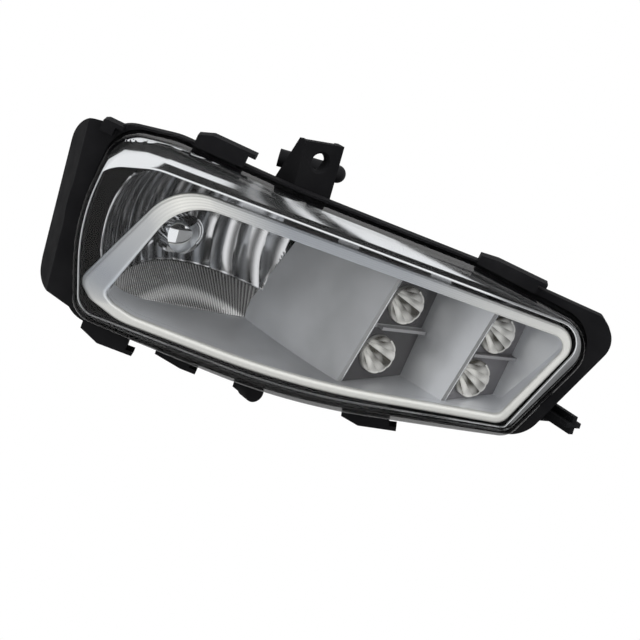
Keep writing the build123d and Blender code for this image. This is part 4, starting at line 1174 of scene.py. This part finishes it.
# %% [markdown]
# ### Dark flags and white cards
# In a room that is white all round, chrome looks like paper. Photographers stand black flags in
# front of shiny things and leave gaps of white between them. Here a flag or a card is a patch of
# a big ball round the lamp, given by its bearings, and only mirrors can see it.

# %% Flags and cards
PATCH_COLUMNS, PATCH_ROWS = 33, 17


def card_finish(name, glow):
    """Finish of a card that glows by itself, so that no lamp has to reach it."""
    finish, shader = new_finish(name, (0.0, 0.0, 0.0), 0.9, gloss=0.0)
    shader.inputs["Emission Color"].default_value = (1.0, 1.0, 1.0, 1.0)
    shader.inputs["Emission Strength"].default_value = glow
    return finish


def ball_patch(name, radius, bearing, elevation, finish):
    """Patch of a ball between two bearings, right of straight ahead, and two elevations."""
    turn_by = np.radians(np.linspace(*bearing, PATCH_COLUMNS))[None]
    tilt_by = np.radians(np.linspace(*elevation, PATCH_ROWS))[:, None]
    patch_points = np.stack(
        (
            np.cos(tilt_by) * np.sin(turn_by),
            -np.cos(tilt_by) * np.cos(turn_by),
            np.sin(tilt_by) + 0 * turn_by,
        ),
        axis=-1,
    )
    patch = grid_piece(name, patch_points * radius + np.array(LENS_MIDDLE), wrap=False)
    patch.data.materials.append(finish)
    patch.visible_camera = False
    patch.visible_diffuse = False
    patch.visible_transmission = False
    patch.visible_shadow = False


BLACK_FLAG = new_finish("black_flag_finish", (0.015, 0.015, 0.015), 0.9, gloss=0.0)[0]
WHITE_CARD = card_finish("white_card_finish", 1.0)
GREY_CARD = card_finish("grey_card_finish", 0.35)
DIM_CARD = card_finish("dim_card_finish", 0.28)
FAR, MIDWAY, NEAR = 0.95, 0.7, 0.55
ball_patch("front_flag", FAR, (-105, 105), (4, 88), BLACK_FLAG)
ball_patch("top_flag", FAR, (-180, 180), (60, 90), BLACK_FLAG)
ball_patch("right_flag", NEAR, (15, 110), (-48, 6), DIM_CARD)
ball_patch("corner_card", MIDWAY, (-44, -16), (2, 48), WHITE_CARD)
ball_patch("corner_strip", MIDWAY, (-16, -6), (38, 50), WHITE_CARD)
ball_patch("top_strip_1", MIDWAY, (-4.5, -3), (25, 68), GREY_CARD)
ball_patch("top_strip_2", MIDWAY, (0.5, 2.5), (32, 60), WHITE_CARD)
ball_patch("top_card_right", MIDWAY, (6, 16), (30, 62), WHITE_CARD)
ball_patch("right_card", MIDWAY, (40, 60), (15, 55), WHITE_CARD)
print("flags and cards stand round the lamp")

# %% [markdown]
# ### Lamps
# Four wide area lamps give soft light from above, from both sides and on the back. Mirrors don't
# see them, because the cards already give the shine its shape.


# %% Lamps
def soft_lamp(name, place, width, height, watts):
    """Area lamp of a given size whose light points from its place to the middle of the lens."""
    data = bpy.data.lights.new(name, "AREA")
    data.shape = "RECTANGLE"
    data.size, data.size_y = width, height
    data.energy = watts
    lamp = bpy.data.objects.new(name, data)
    lamp.location = place
    lamp.rotation_euler = (LENS_MIDDLE - Vector(place)).to_track_quat("-Z", "Y").to_euler()
    lamp.visible_glossy = False
    bpy.context.scene.collection.objects.link(lamp)


soft_lamp("top_lamp", (0.1, -0.15, 0.8), width=0.9, height=0.6, watts=6.0)
soft_lamp("left_lamp", (-0.9, -0.5, 0.25), width=0.5, height=0.7, watts=4.0)
soft_lamp("right_lamp", (0.85, -0.7, 0.2), width=0.5, height=0.7, watts=4.0)
soft_lamp("back_lamp", (0.1, 1.0, 0.3), width=0.8, height=0.6, watts=6.0)
print("lamps:", len(bpy.data.lights))
